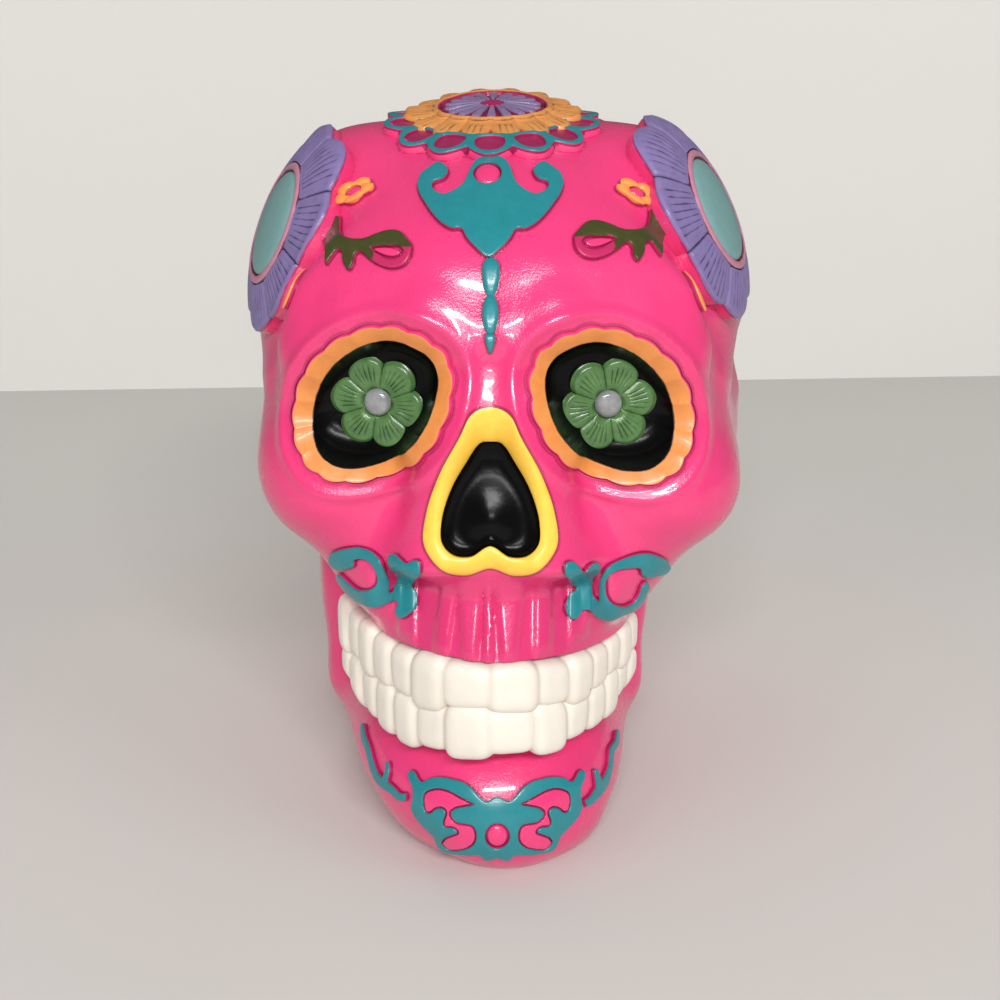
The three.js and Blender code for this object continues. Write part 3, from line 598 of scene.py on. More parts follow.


# Thick white tooth enamel, almost matt, with faint warm stains, a few dark pinholes, and faint grime and
# painted shade in the joints between the teeth
def tooth_enamel():
    material, tree = blank_material("white_tooth_enamel")
    place = add(tree, "TexCoord").outputs["Object"]
    stain = add(tree, "TexNoise", {"Vector": place, "Scale": scale_for(TOOTH_STAINS), "Detail": 3})
    warm = add(tree, "Mix", {"Factor": stain.outputs["Fac"], "A": paint("#ECE6DA"),
                             "B": paint("#DDD2C5")}, data_type="RGBA")
    pit = add(tree, "TexVoronoi", {"Vector": place, "Scale": scale_for(TOOTH_PINHOLES)})
    speck = add(tree, "MapRange", {"Value": pit.outputs["Distance"], "From Min": 0.05, "From Max": 0.08,
                                   "To Min": 1.0, "To Max": 0.0})
    rare = add(tree, "Math", {0: stain.outputs["Fac"], 1: 0.6}, operation="GREATER_THAN")
    spots = add(tree, "Math", {0: speck.outputs["Result"], 1: rare.outputs["Value"]},
                operation="MULTIPLY")
    colour = add(tree, "Mix", {"Factor": spots.outputs["Value"], "A": warm.outputs["Result"],
                               "B": paint("#6B5A4E")}, data_type="RGBA")
    joint_grime_and_shade = add(tree, "Attribute", attribute_name="line")
    faint = add(tree, "Math", {0: joint_grime_and_shade.outputs["Fac"], 1: 0.15}, operation="MULTIPLY")
    joint_darkened = add(tree, "Mix", {"Factor": faint.outputs["Value"], "A": colour.outputs["Result"],
                                "B": paint("#BDA796")}, data_type="RGBA")
    brush = add(tree, "TexNoise", {"Vector": place, "Scale": scale_for(TOOTH_BRUSH), "Detail": 3})
    bump = add(tree, "Bump", {"Strength": 0.3, "Distance": 0.0002, "Height": brush.outputs["Fac"]})
    shader = add(tree, "BsdfPrincipled", {"Base Color": joint_darkened.outputs["Result"], "Roughness": 0.42,
                                          "IOR": 1.5, "Normal": bump.outputs["Normal"]})
    add(tree, "OutputMaterial", {"Surface": shader.outputs["BSDF"]})
    return material


PINK = pink_lacquer()
WHITE = tooth_enamel()
# Cool blue-green with a slight shine on the crests, curls and loops
TEAL = acrylic("teal_acrylic_paint", "#24878F", "#1C747B", 0.3, "#12484C")
# Clear light orange, almost matt, on the small flowers and buds
ORANGE = acrylic("orange_acrylic_paint", "#F0A056", "#DE833C", 0.42, "#9A4F1C")
# The same orange, darker and duller on the crown, with the shade there painted in
SHADED_ORANGE = acrylic("orange_acrylic_with_painted_shade", "#DC9750", "#C07A3C", 0.45, "#7E3F1C", wall="#9C1F50")
# Orange that meets the black of the eye in a ragged line and lets pink through at its outer edge
FUNNEL = acrylic("orange_acrylic_over_black", "#E89850", "#D47A3A", 0.42, "#121212", wall="#E8407C")
# Warm yellow, thick and a little shiny
YELLOW = acrylic("yellow_acrylic_paint", "#FFD45C", "#F4B730", 0.38, "#B97A18", wall="#D9862A")
# Deep black with few, small glints
BLACK = acrylic("black_gloss_enamel", "#0B0B0C", "#060606", 0.22, "#050505", wall="#090909", shine=0.1)
# Streaky leaf green with wet-looking glints and dark veins
GREEN = acrylic("green_gloss_enamel", "#638A51", "#2C5025", 0.26, "#1D3A1A", wall="#1B2A18")
# Dark brownish green that reads almost black in shade
OLIVE = acrylic("olive_acrylic_paint", "#484C20", "#363618", 0.38, "#22260F")
# Soft greyish purple with dark paint left in its lines
PURPLE = acrylic("purple_acrylic_paint", "#8778A8", "#6F5F90", 0.42, "#3A2F55")
# A paler purple on the tips of the rays, deep pink between them
RAYS = acrylic("purple_acrylic_on_deep_pink", "#8D7BA0", "#715C86", 0.42, "#5B4A72", wall="#7A1743")
# Chalky grey-blue, even and almost matt
TURQUOISE = acrylic("turquoise_acrylic_paint", "#7BA3A2", "#6C9594", 0.4, "#3E5C5C")
# Greyed pink between two dark edges
DUSTY = acrylic("dusty_pink_acrylic_paint", "#C4869A", "#AE6E84", 0.42, "#5A2438", wall="#5A2438")
# Silver-grey mottled with dark grey over black, with sharp glints
GREY = acrylic("grey_gloss_enamel", "#A9ABAB", "#4A4C4D", 0.16, "#151515", wall="#1B1C1C")
# Dark pink that sets off the lace and the rays
MAGENTA = acrylic("deep_pink_acrylic_paint", "#A51F57", "#851645", 0.3, "#4A0C28", wall="#E8457E")

foot_points = []  # places where ornaments meet the bone


# Finishes a piece: named, given its material, written in metres, riding on the root body, in place of its
# CAD nodes, which are hidden
def keep(obj, name, nodes, material, smooth=38):
    obj.name = name
    obj.data.name = name
    obj.data.materials.clear()
    obj.data.materials.append(material)
    move_points(obj, points_of(obj) * MM)
    pick(obj)
    bpy.ops.object.shade_smooth_by_angle(angle=math.radians(smooth))
    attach(obj, "root")
    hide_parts(*nodes)
    return obj


# The same piece on the left side, with a mesh of its own
def mirror_copy(obj):
    copy = obj.copy()
    copy.data = obj.data.copy()
    bpy.context.collection.objects.link(copy)
    move_points(copy, points_of(copy) * (-1, 1, 1))
    copy.data.flip_normals()
    return copy


def keep_pair(obj, name, node, material, smooth=38):
    left = mirror_copy(obj)
    keep(obj, name + "_right", [node + "_right"], material, smooth)
    keep(left, name + "_left", [node + "_left"], material, smooth)


# Lays a flat piece on its seat and remembers where its foot meets the bone
def settle(obj, seat, groove=True):
    p = points_of(obj)
    placed = seat.lay(p)
    if groove:
        foot_points.append(placed[p[:, 2] < p[:, 2].min() + 0.25])
    move_points(obj, placed)
    return obj


# Lays the same flat piece on the right seat and, mirrored, on the left one
def settle_pair(obj, right, left, name, node, material, groove=True, smooth=38,
                shifts=((0, 0, 0), (0, 0, 0))):
    other = mirror_copy(obj)
    for side, piece, seat, shift in (("right", obj, right, shifts[0]), ("left", other, left, shifts[1])):
        move_points(piece, points_of(piece) + shift)
        settle(piece, seat, groove)
        keep(piece, f"{name}_{side}", [f"{node}_{side}"], material, smooth)


def seats(at, out, left_shift=(0, 0, 0)):
    other = np.array(at) * (-1, 1, 1) + left_shift
    return Seat(at, out), Seat(other, np.array(out) * (-1, 1, 1))


def stand_up(obj, seat):
    move_points(obj, seat.stand(points_of(obj)))


def face_centres(obj):
    centres = np.empty(3 * len(obj.data.polygons))
    obj.data.polygons.foreach_get("center", centres)
    return centres.reshape(-1, 3)


def subdivide_picked():
    bpy.ops.object.mode_set(mode="EDIT")
    bpy.ops.mesh.select_mode(type="FACE")
    bpy.ops.mesh.subdivide(number_cuts=1)
    bpy.ops.object.mode_set(mode="OBJECT")


def from_feet(points):
    return np.array([near_feet.find(p)[2] for p in points])


# Skin of the bone: a ball drawn in to it, finer on the face side and along the foot of each ornament
def wrapped(field, centre, face_from):
    bpy.ops.object.select_all(action="DESELECT")
    bpy.ops.mesh.primitive_ico_sphere_add(subdivisions=7, radius=1)
    obj = bpy.context.object
    select_faces(obj, face_centres(obj)[:, 1] < face_from)
    subdivide_picked()
    way = points_of(obj)
    way /= length(way)[:, None]
    move_points(obj, strike(lambda p: field(p) + LACQUER_DEPTH, centre + SKIN_FROM * way, -way))
    select_faces(obj, from_feet(face_centres(obj)) < 1)
    subdivide_picked()
    return obj


def ground_flat(obj):
    pick(obj)
    bpy.ops.object.mode_set(mode="EDIT")
    bpy.ops.mesh.select_all(action="SELECT")
    bpy.ops.mesh.bisect(plane_co=(0, 0, 0), plane_no=(0, 0, 1), clear_inner=True, use_fill=True)
    bpy.ops.object.mode_set(mode="OBJECT")


def carve(obj, cutter):
    finish_with(obj, "BOOLEAN", object=cutter, operation="DIFFERENCE", solver="MANIFOLD")


# Teeth stand along an arch y = front + x * x / bend, which follows the lean of the jaw
def arch_place(s):
    step = 0.02
    x = 0.0
    for _ in range(int(abs(s) / step)):
        x += step / math.hypot(1, 2 * x / ARCH_BEND)
    sign = 1 if s >= 0 else -1
    out = np.array((sign * 2 * x / ARCH_BEND, -1.0))
    y = ARCH_FRONT + x * x / ARCH_BEND
    return np.array((sign * x - LEAN_SHIFT * back_of_row(y), y)), out / math.hypot(*out)


# Heights of the gum, the bite and the roots along the rows
def gum_line(x):
    return (GUM + 1.2 - 2.5 * smooth_step(4, 21, np.abs(x))
            + 1.4 * smooth_step(23, 31, np.abs(x)) - 0.04 * x)


def bite_line(x):
    return BITE - 3 * smooth_step(0, 19, np.abs(x))


def root_line(x):
    return ROOT - 2.6 * smooth_step(0, 20, np.abs(x)) + 5 * smooth_step(23, 31, np.abs(x)) + 0.04 * x


# A rounded block bent to its place in the row and drawn out between two lines
def tooth(width, middle, low_line, high_line, front, vary, tilt):
    bpy.ops.object.select_all(action="DESELECT")
    bpy.ops.mesh.primitive_uv_sphere_add(segments=44, ring_count=28, radius=1)
    obj = bpy.context.object
    p = points_of(obj)
    p = np.sign(p) * np.abs(p) ** (0.55, 0.5, 0.5)
    across = p[:, 0] * width / 2 + p[:, 2] * TOOTH_HALF_TALL * math.tan(math.radians(tilt))
    at, out = arch_place(middle)
    along = np.array((-out[1], out[0]))
    forward = front - TOOTH_HALF_DEEP * (1 + p[:, 1:2]) - 0.25 * np.abs(p[:, :1]) ** 3
    xy = at + across[:, None] * along + forward * out
    low = low_line(xy[:, 0]) - 0.7 * vary
    high = high_line(xy[:, 0]) + 0.35 * vary
    z = (low + high) / 2 + p[:, 2] * (high - low) / 2
    move_points(obj, np.column_stack([xy, z]))
    return obj


# Thick paint runs the teeth of a row together, so they are melted into one and rubbed down
def tooth_row(name, node, widths, low_line, high_line, front, seed):
    teeth = []
    joints = [0.0]
    for side in (1, -1):
        s = 0.0
        for i, width in enumerate(widths):
            vary = math.sin(seed + 2.3 * i + 1.7 * side)
            middle = side * (s + width / 2)
            s += width
            joints.append(side * s)
            forward = front + 0.25 * vary - 0.1
            teeth.append(tooth(TOOTH_OVERLAP * width, middle, low_line, high_line, forward, vary,
                               ROW_TILT[i] * side))
    row = joined(teeth)
    finish_with(row, "REMESH", mode="VOXEL", voxel_size=0.25)
    finish_with(row, "SMOOTH", factor=0.5, iterations=12)
    p = points_of(row)
    # Grime and painted shade along the joints between the teeth
    joint_grime_and_shade = np.zeros(len(p))
    for s in joints:
        at, out = arch_place(s)
        q = p[:, :2] - at
        near = np.abs(q @ np.array((-out[1], out[0])))
        joint_grime_and_shade = np.maximum(joint_grime_and_shade, (1 - smooth_step(0.2, 1, near)) * (np.abs(q @ out) < 4))
    mark(row, "line", joint_grime_and_shade)
    # Points along the gum and root lines, so the bone beside the rows gets the deep red of pooled lacquer
    # and painted shade
    for line in (low_line, high_line):
        spots = [arch_place(s)[0] for s in joints]
        foot_points.append(np.array([(x, y + 0.5, line(np.array(x))) for x, y in spots]))
    keep(row, name, [node], WHITE, smooth=60)


# Slot in the bone that the two rows fill
def tooth_slot():
    reach = sum(UPPER_WIDTHS) + SLOT_GAP
    inside, outside = [], []
    for s in np.linspace(-reach, reach, 81):
        at, out = arch_place(s)
        inside.append(at - (ROW_DEEP + SLOT_GAP) * out)
        outside.append(at + SLOT_OPEN * out)
    edge = np.vstack([inside, outside[::-1]])
    across = np.concatenate([np.array(inside)[:, 0], np.array(inside)[::-1, 0]])
    top = np.column_stack([edge, gum_line(across) + SLOT_LIP])
    bottom = np.column_stack([edge, root_line(across) - SLOT_LIP])
    n = len(edge)
    half = n // 2
    faces = []
    for i in range(n):
        j = (i + 1) % n
        faces.append((i, j, n + j, n + i))
    for i in range(half - 1):
        faces.append((i, n - 1 - i, n - 2 - i, i + 1))
        faces.append((n + i + 1, 2 * n - 2 - i, 2 * n - 1 - i, n + i))
    mesh = bpy.data.meshes.new("slot")
    mesh.from_pydata(np.vstack([bottom, top]).tolist(), [], faces)
    obj = bpy.data.objects.new("slot", mesh)
    bpy.context.collection.objects.link(obj)
    pick(obj)
    bpy.ops.object.mode_set(mode="EDIT")
    bpy.ops.mesh.select_all(action="SELECT")
    bpy.ops.mesh.normals_make_consistent(inside=False)
    bpy.ops.object.mode_set(mode="OBJECT")
    return obj


def petal_across(k, petals):
    return (k * petals) % 1 - 0.5


# Fine lines along a petal, over a share of its width; count is half their number
def ribs(k, petals, count, share):
    q = petal_across(k, petals)
    inside = 1 - smooth_step(0.8 * share / 2, share / 2, np.abs(q))
    return inside * np.cos(math.pi * q / share * 2 * count) ** 8


# Eyes: scalloped funnel, black bowl, green flower and bead
eye_seat = Seat(**EYE)
eye_edge = lobed(EYE_SCALLOPS, EYE_LONG, 0.6, 16, EYE_SQUASH, EYE_LEAN)
EYE_HOLE = np.array((-0.2, -0.3))
HOLE_LONG, HOLE_SQUASH, HOLE_LEAN = 14, 0.7, -42
eye_hole = lobed(EYE_SCALLOPS, HOLE_LONG, 0, 16, HOLE_SQUASH, HOLE_LEAN)
eye_bone = eye_seat.heights(grown(eye_edge, 0.3))


def eye_lip(k):
    return eye_bone[np.rint(k * len(eye_bone)).astype(int) % len(eye_bone)] + 0.3


def eye_rim_height(u, v, t, k):
    slope_in = 1.5 * (1 - np.minimum(t / 0.85, 1)) ** 1.2
    return eye_lip(k) - slope_in - 0.7 * smooth_step(0.88, 1.0, t) ** 1.5


# The eye hole and the scalloped edge start their turn at different angles, so one is shifted to match
hole_turn = round((EYE_LEAN - HOLE_LEAN) / 360 * len(eye_hole))
eye_rim = pad(eye_edge, EYE_HOLE + np.roll(eye_hole, -hole_turn, 0), eye_rim_height, -4.6, 20,
              lambda u, v, t, k: 1 - smooth_step(0.0, 0.1, t),
              lambda u, v, t, k: 1 - 0.7 * smooth_step(0.82, 0.92, t))
stand_up(eye_rim, eye_seat)
eye_foot = eye_seat.hits(grown(eye_edge, 0.35))
foot_points.extend([eye_foot, eye_foot * (-1, 1, 1)])
keep_pair(eye_rim, "eye_funnel", "eye_rim", FUNNEL)

eye_bowl = pad(EYE_HOLE + 1.02 * np.roll(eye_hole, -hole_turn, 0), EYE_HOLE,
               lambda u, v, t, k: -5.2 + (eye_lip(k) + 3.6) * t**6, -7, 40)
stand_up(eye_bowl, eye_seat)
keep_pair(eye_bowl, "eye_dish", "eye_bowl", BLACK)

EYE_PETALS = 6
EYE_FLOWER = np.array((0.6, -1.2))
flower_edge = EYE_FLOWER + lobed(EYE_PETALS, 8.9, 2, 44, 1, -21, 0.65)


def eye_veins(t, k, tip):
    return ribs(k, EYE_PETALS, 2.5, 0.7) * smooth_step(0.4, 0.5, t) * (1 - smooth_step(tip, tip + 0.1, t))


def eye_flower_height(u, v, t, k):
    q = petal_across(k, EYE_PETALS)
    dome = 0.6 * np.cos(math.pi * q) ** 0.5 * smooth_step(0.25, 0.5, t)
    edge = 0.6 * smooth_step(0.86, 1.0, t) ** 2
    dip = 0.4 * (1 - smooth_step(0.28, 0.36, t))
    return -4.4 + dome - 0.14 * eye_veins(t, k, 0.8) - edge - dip


def eye_flower_lines(u, v, t, k):
    q = petal_across(k, EYE_PETALS)
    seam = 0.7 * smooth_step(0.47, 0.5, np.abs(q)) * smooth_step(0.3, 0.5, t)
    return np.maximum(np.maximum(0.8 * eye_veins(t, k, 0.76), seam), 1 - smooth_step(0.27, 0.32, t))


eye_flower = pad(flower_edge, EYE_FLOWER, eye_flower_height, -5.6, 40, eye_flower_lines)
stand_up(eye_flower, eye_seat)
keep_pair(eye_flower, "eye_blossom", "eye_flower", GREEN, smooth=50)

EYE_BEAD = (0.5, -1)
eye_bead = pad(disc(2.5, EYE_BEAD), EYE_BEAD,
               lambda u, v, t, k: -4.3 + 1.2 * np.sqrt(1 - 0.96 * t**4), -4.9, 14)
stand_up(eye_bead, eye_seat)
keep_pair(eye_bead, "eye_pearl", "eye_bead", GREY)

# Nose: an upside-down heart with a rounded band and a ridged black floor
nose_seat = Seat(**NOSE)
NOSE_HALF = [
    (0, 17.3), (3.1, 16.1), (5.3, 12), (8.8, 5.6), (11.2, -1.3), (11.6, -7), (8.1, -11.5), (4.2, -12.4),
    (0, -11.1),
]
NOSE_HOLE = [
    (0, 11.3), (1.8, 11), (4.3, 7.5), (6.9, 2.8), (8.5, -2.6), (8.4, -6.6), (6.4, -8.7), (3.4, -8.9),
    (0, -7),
]
nose_edge = loop(both_sides(NOSE_HALF), 16)
nose_hole = loop(both_sides(NOSE_HOLE), 16)
nose_bone = nose_seat.heights(grown(nose_edge, 0.4))


def nose_rim_height(u, v, t, k):
    bone = nose_bone[np.rint(k * len(nose_bone)).astype(int) % len(nose_bone)]
    base = -2.4 + (bone + 2.4) * t
    return base + 1.3 * np.sin(math.pi * np.clip(0.04 + 0.93 * t, 0, 1)) ** 0.4 - 0.1


nose_rim = pad(nose_edge, nose_hole, nose_rim_height, -5.2, 18)
stand_up(nose_rim, nose_seat)
foot_points.append(nose_seat.hits(grown(nose_edge, 0.3)))
keep(nose_rim, "nose_band", ["nose_rim"], YELLOW)


def nose_floor_height(u, v, t, k):
    return -4.9 + 1.4 * np.exp(-((u / 4) ** 2) - ((v + 2.5) / 5) ** 2) + 2.4 * t**8


nose_floor = pad(nose_hole * 1.04, (0, -1), nose_floor_height, -6.4, 40)
stand_up(nose_floor, nose_seat)
keep(nose_floor, "nose_hollow", ["nose_floor"], BLACK)

# Crown: scalloped plate, lace of loops, sunflower, rosette and middle
crown_seat = Seat(**CROWN)
CROWN_TIP = 0.035  # the upper layers tip toward the face
CROWN_AT = np.array((0, 2.2))  # and sit to the back of the seat's middle
LACE_AT = np.array((0, -0.6))  # the plate and the lace sit to the front of it


# Flat plate with a rounded edge that starts at this share of the way out
def rounded_plate(top, edge):
    return lambda u, v, t, k: top * np.sqrt(1 - (np.maximum(t - edge, 0) / (1 - edge)) ** 2)


def polar(radius, k):
    return np.column_stack([radius * np.cos(2 * math.pi * k), radius * np.sin(2 * math.pi * k)])


def around(petals, steps):
    return np.arange(petals * steps) / (petals * steps)


crown_plate = pad(LACE_AT + lobed(CROWN_LOOPS, CROWN_R, 2.2, 20), LACE_AT, rounded_plate(0.9, 0.97),
                  SUNK, 60)
spread = length(points_of(crown_plate)[:, :2] - LACE_AT)
mark(crown_plate, "top", marks_of(crown_plate, "top") * (1 - smooth_step(18.6, 19.4, spread)))
settle(crown_plate, crown_seat)
keep(crown_plate, "crown_plate_cast", ["crown_plate"], MAGENTA)

LOOP_EYE = [(14.6, -2.2), (17.2, -2.6), (19, -1.6), (19.5, 0), (19, 1.6), (17.2, 2.6), (14.6, 2.2)]
loop_turns = 360 / CROWN_LOOPS * (np.arange(CROWN_LOOPS) + 0.5)
loop_eyes = [LACE_AT + turned(loop(LOOP_EYE, 6), turn) for turn in loop_turns]
lace_edge = LACE_AT + lobed(CROWN_LOOPS, CROWN_R - 0.2, 2.6, 20)
crown_lace = cut_out([[lace_edge, disc(13.4, LACE_AT, steps=96), *loop_eyes]], 0.6, 1.55)
settle(crown_lace, crown_seat, groove=False)
keep(crown_lace, "crown_loops", ["crown_lace"], TEAL)

sunflower_round = around(CROWN_PETALS, 28)
sunflower_q = np.abs(petal_across(sunflower_round, CROWN_PETALS)) * 2
sunflower_edge = polar(17.2 - 3.2 * sunflower_q**2.4, sunflower_round)


def sunflower_cut(t, k):
    reach = smooth_step(0.36, 0.46, t) * (1 - smooth_step(0.85, 0.95, t))
    return reach * ribs(k, CROWN_PETALS, 2, 0.8)


def sunflower_height(u, v, t, k):
    q = petal_across(k, CROWN_PETALS)
    fold = 0.5 * (np.cos(math.pi * q) - 0.4) * smooth_step(0.25, 0.6, t)
    rim = 0.5 * np.exp(-(((t - 0.1) / 0.08) ** 2)) + 0.25 * np.exp(-(((t - 0.28) / 0.05) ** 2))
    edge = 0.3 * t + 0.5 * smooth_step(0.92, 1.0, t)
    return 2.1 + CROWN_TIP * v + fold + rim - 0.16 * sunflower_cut(t, k) - edge


def sunflower_lines(u, v, t, k):
    return np.maximum(0.75 * sunflower_cut(t, k), 0.7 * np.exp(-(((t - 0.2) / 0.03) ** 2)))


crown_sunflower = pad(CROWN_AT + sunflower_edge, CROWN_AT + polar(9.9, sunflower_round), sunflower_height,
                      0.7, 36, sunflower_lines, lambda u, v, t, k: smooth_step(0.0, 0.06, t))
settle(crown_sunflower, crown_seat, groove=False)
keep(crown_sunflower, "crown_sunflower_ring", ["crown_sunflower"], SHADED_ORANGE, smooth=60)


def rosette_ray(t, k):
    q = np.abs(petal_across(k, CROWN_RAYS)) * 2
    reach = 1 - smooth_step(0.9, 0.97, t + 0.3 * q**3)
    return (1 - smooth_step(0.45 + 0.1 * (1 - t), 0.75, q)) * reach * smooth_step(0.2, 0.26, t)


def rosette_lines(u, v, t, k):
    return 0.6 * ribs(k, CROWN_RAYS, 0.5, 0.9) * smooth_step(0.3, 0.4, t) * (t < 0.6)


crown_rosette = pad(disc(9.7, CROWN_AT, steps=CROWN_RAYS * 20), CROWN_AT,
                    lambda u, v, t, k: 1.5 + CROWN_TIP * v + 0.7 * rosette_ray(t, k), 0.8, 44, rosette_lines)
lifted = points_of(crown_rosette)
mark(crown_rosette, "top", smooth_step(1.7, 2.0, lifted[:, 2] - CROWN_TIP * lifted[:, 1]))
settle(crown_rosette, crown_seat, groove=False)
keep(crown_rosette, "crown_rays", ["crown_rosette"], RAYS, smooth=60)

crown_bead = pad(CROWN_AT + lobed(9, 2.1, 0.3, 8), CROWN_AT,
                 lambda u, v, t, k: 1.8 + 0.8 * np.sqrt(1 - 0.97 * t * t), 1.0, 12)
settle(crown_bead, crown_seat, groove=False)
keep(crown_bead, "crown_middle", ["crown_bead"], MAGENTA)

# Temples: a broad flower with engraved petals round a smooth stone
temple_seat, temple_left = seats(**TEMPLE)
TEMPLE_SHIFTS = ((-1.2, 2.4, 0), (2.6, -0.4, 0))  # the casting is not quite even from side to side
TEMPLE_TIP, TEMPLE_LOW_SIDE = 0.045, 9  # how steeply the layers tip, and where they keep their height
temple_edge = lobed(TEMPLE_PETALS, TEMPLE_R, 2, 40, lean=TEMPLE_TURN)


# Sets a layer on both temples, standing off the bone a little more toward the face
def temple_layer(obj, name, node, material, groove=False, smooth=38):
    p = points_of(obj)
    p[:, 2] += np.where(p[:, 2] > 0, TEMPLE_TIP * (TEMPLE_LOW_SIDE - p[:, 0]), 0)
    move_points(obj, p)
    settle_pair(obj, temple_seat, temple_left, name, node, material, groove, smooth, TEMPLE_SHIFTS)


temple_plate = pad(temple_edge, (0, 0), rounded_plate(1.1, 0.97), -0.5, 60)
temple_layer(temple_plate, "temple_plate_cast", "temple_plate", PINK, groove=True)


def temple_petal_height(u, v, t, k):
    q = petal_across(k, TEMPLE_PETALS)
    seam = 0.3 * np.exp(-(((np.abs(q) - 0.5) / 0.025) ** 2))
    cut = 0.16 * temple_lines(u, v, t, k)
    return 1.75 + 0.35 * np.cos(math.pi * q) - cut - seam - 0.4 * smooth_step(0.92, 1.0, t)


def temple_lines(u, v, t, k):
    q = petal_across(k, TEMPLE_PETALS)
    seam = np.exp(-(((np.abs(q) - 0.5) / 0.018) ** 2))
    reach = 0.82 + 0.12 * np.cos(9 * math.pi * q + 1) ** 2
    cut = ribs(k, TEMPLE_PETALS, 4.5, 0.9) ** 1.5 * (1 - smooth_step(reach - 0.1, reach + 0.1, t))
    return np.maximum(seam, 0.9 * cut * smooth_step(0.02, 0.08, t))


temple_petals = pad(lobed(TEMPLE_PETALS, TEMPLE_R - 0.5, 1.6, 72), lobed(TEMPLE_PETALS, 11.7, 0, 72),
                    temple_petal_height, 0.7, 26, temple_lines)
flat = points_of(temple_petals)
move_points(temple_petals, np.column_stack([turned(flat[:, :2], TEMPLE_TURN), flat[:, 2]]))
temple_layer(temple_petals, "temple_petal_ring", "temple_petals", PURPLE, smooth=60)

temple_ring = pad(disc(11.6, steps=96), disc(10, steps=96),
                  lambda u, v, t, k: 1.6 + 0.6 * np.sqrt(np.clip(1 - (2 * t - 1) ** 2, 0, 1)), 0.9, 12,
                  lambda u, v, t, k: smooth_step(0.6, 0.95, np.abs(2 * t - 1)))
temple_layer(temple_ring, "temple_bezel", "temple_ring", DUSTY)

temple_stone = pad(disc(9.8, steps=96), (0, 0),
                   lambda u, v, t, k: 1.4 + 0.7 * np.sqrt(1 - 0.97 * t**8), 0.9, 30)
temple_layer(temple_stone, "temple_cabochon", "temple_stone", TURQUOISE)

# Forehead: crest with hooked tips, a button and falling drops
crest_seat = Seat((-0.7, -45.5, 124.5), (0, -0.68, 0.73))
CREST_HALF = [
    (0, -10.5), (2.5, -8.6), (3.8, -7), (4.7, -5.3), (6.3, -5.2), (8.2, -3.8), (10, -1.1), (11.3, 1.6),
    (12.3, 4), (12.8, 6.8), (12.2, 9.4), (10.8, 10.8), (9.5, 12), (8.2, 11), (7.5, 9.2), (8.3, 7.3),
    (10, 6.6), (10.2, 5.6), (9.4, 3.9), (7.9, 3), (6.1, 3.9), (4.6, 5.7), (3.6, 9.1), (2.8, 11.4),
    (1.5, 12.6), (0, 12.9),
]
BUTTON = (-0.5, 8)
BUTTON_OVAL = (0.9, 1.06)


# Domed top of a button or a drop
def button_height(u, v, t, k):
    return 0.1 + 0.7 * np.sqrt(1 - 0.97 * t**3)


crest = cut_out([[loop(both_sides(CREST_HALF)), disc(2.75) * BUTTON_OVAL + BUTTON]], SUNK, RELIEF)
settle(crest, crest_seat)
keep(crest, "forehead_crest_relief", ["forehead_crest"], TEAL)
boss = pad(disc(2.45) * BUTTON_OVAL + BUTTON, BUTTON, button_height, SUNK, 12)
settle(boss, crest_seat)
keep(boss, "forehead_button", ["forehead_boss"], PINK)

drop_seat = Seat((-0.2, -56.7, 108), (0, -0.97, 0.23))
DROPS = [
    [(0, 9.5), (1.3, 8.6), (1.5, 7), (1.2, 4.5), (0.5, 3.1)],
    [(0.5, 3.0), (1.2, 1.8), (1.4, -0.4), (0.9, -2.6), (0.5, -3.3)],
    [(0.5, -3.4), (0.9, -3.9), (0.7, -5.1), (0.2, -6.6), (0, -6.7)],
]
for i, half in enumerate(DROPS):
    middle = (0, (half[0][1] + half[-1][1]) / 2)
    drop = pad(loop(both_sides(half), 10), middle, button_height, SUNK, 14)
    settle(drop, drop_seat)
    keep(drop, f"forehead_tear_{i + 1}", [f"forehead_drop_{i + 1}"], TEAL)

# Brow: a small flower, a thorny vine with a curled leaf, and a bud beside the temple
brow_seat, brow_left = seats(**BROW_FLOWER)
FLOWER_LEAN, FLOWER_SQUASH, FLOWER_PETALS = -30, 0.62, 5


def brow_oval(outline):
    return turned(outline * (1, FLOWER_SQUASH), FLOWER_LEAN)


def brow_flower_height(u, v, t, k):
    swell = 0.35 * np.sin(math.pi * np.clip(t, 0.05, 0.95)) ** 0.6
    return 0.6 + swell - 0.2 * np.abs(np.cos(FLOWER_PETALS * math.pi * k)) ** 6


brow_flower = pad(brow_oval(lobed(FLOWER_PETALS, 4.2, 0.9, 16, lean=20)), brow_oval(disc(1.7, steps=80)),
                  brow_flower_height, SUNK, 14)
settle_pair(brow_flower, brow_seat, brow_left, "brow_blossom", "brow_flower", ORANGE)
brow_bead = pad(brow_oval(disc(1.5)), (0, 0),
                lambda u, v, t, k: 0.2 + 0.5 * np.sqrt(1 - 0.97 * t * t), SUNK, 10)
settle_pair(brow_bead, brow_seat, brow_left, "brow_pearl", "brow_flower_bead", PINK)

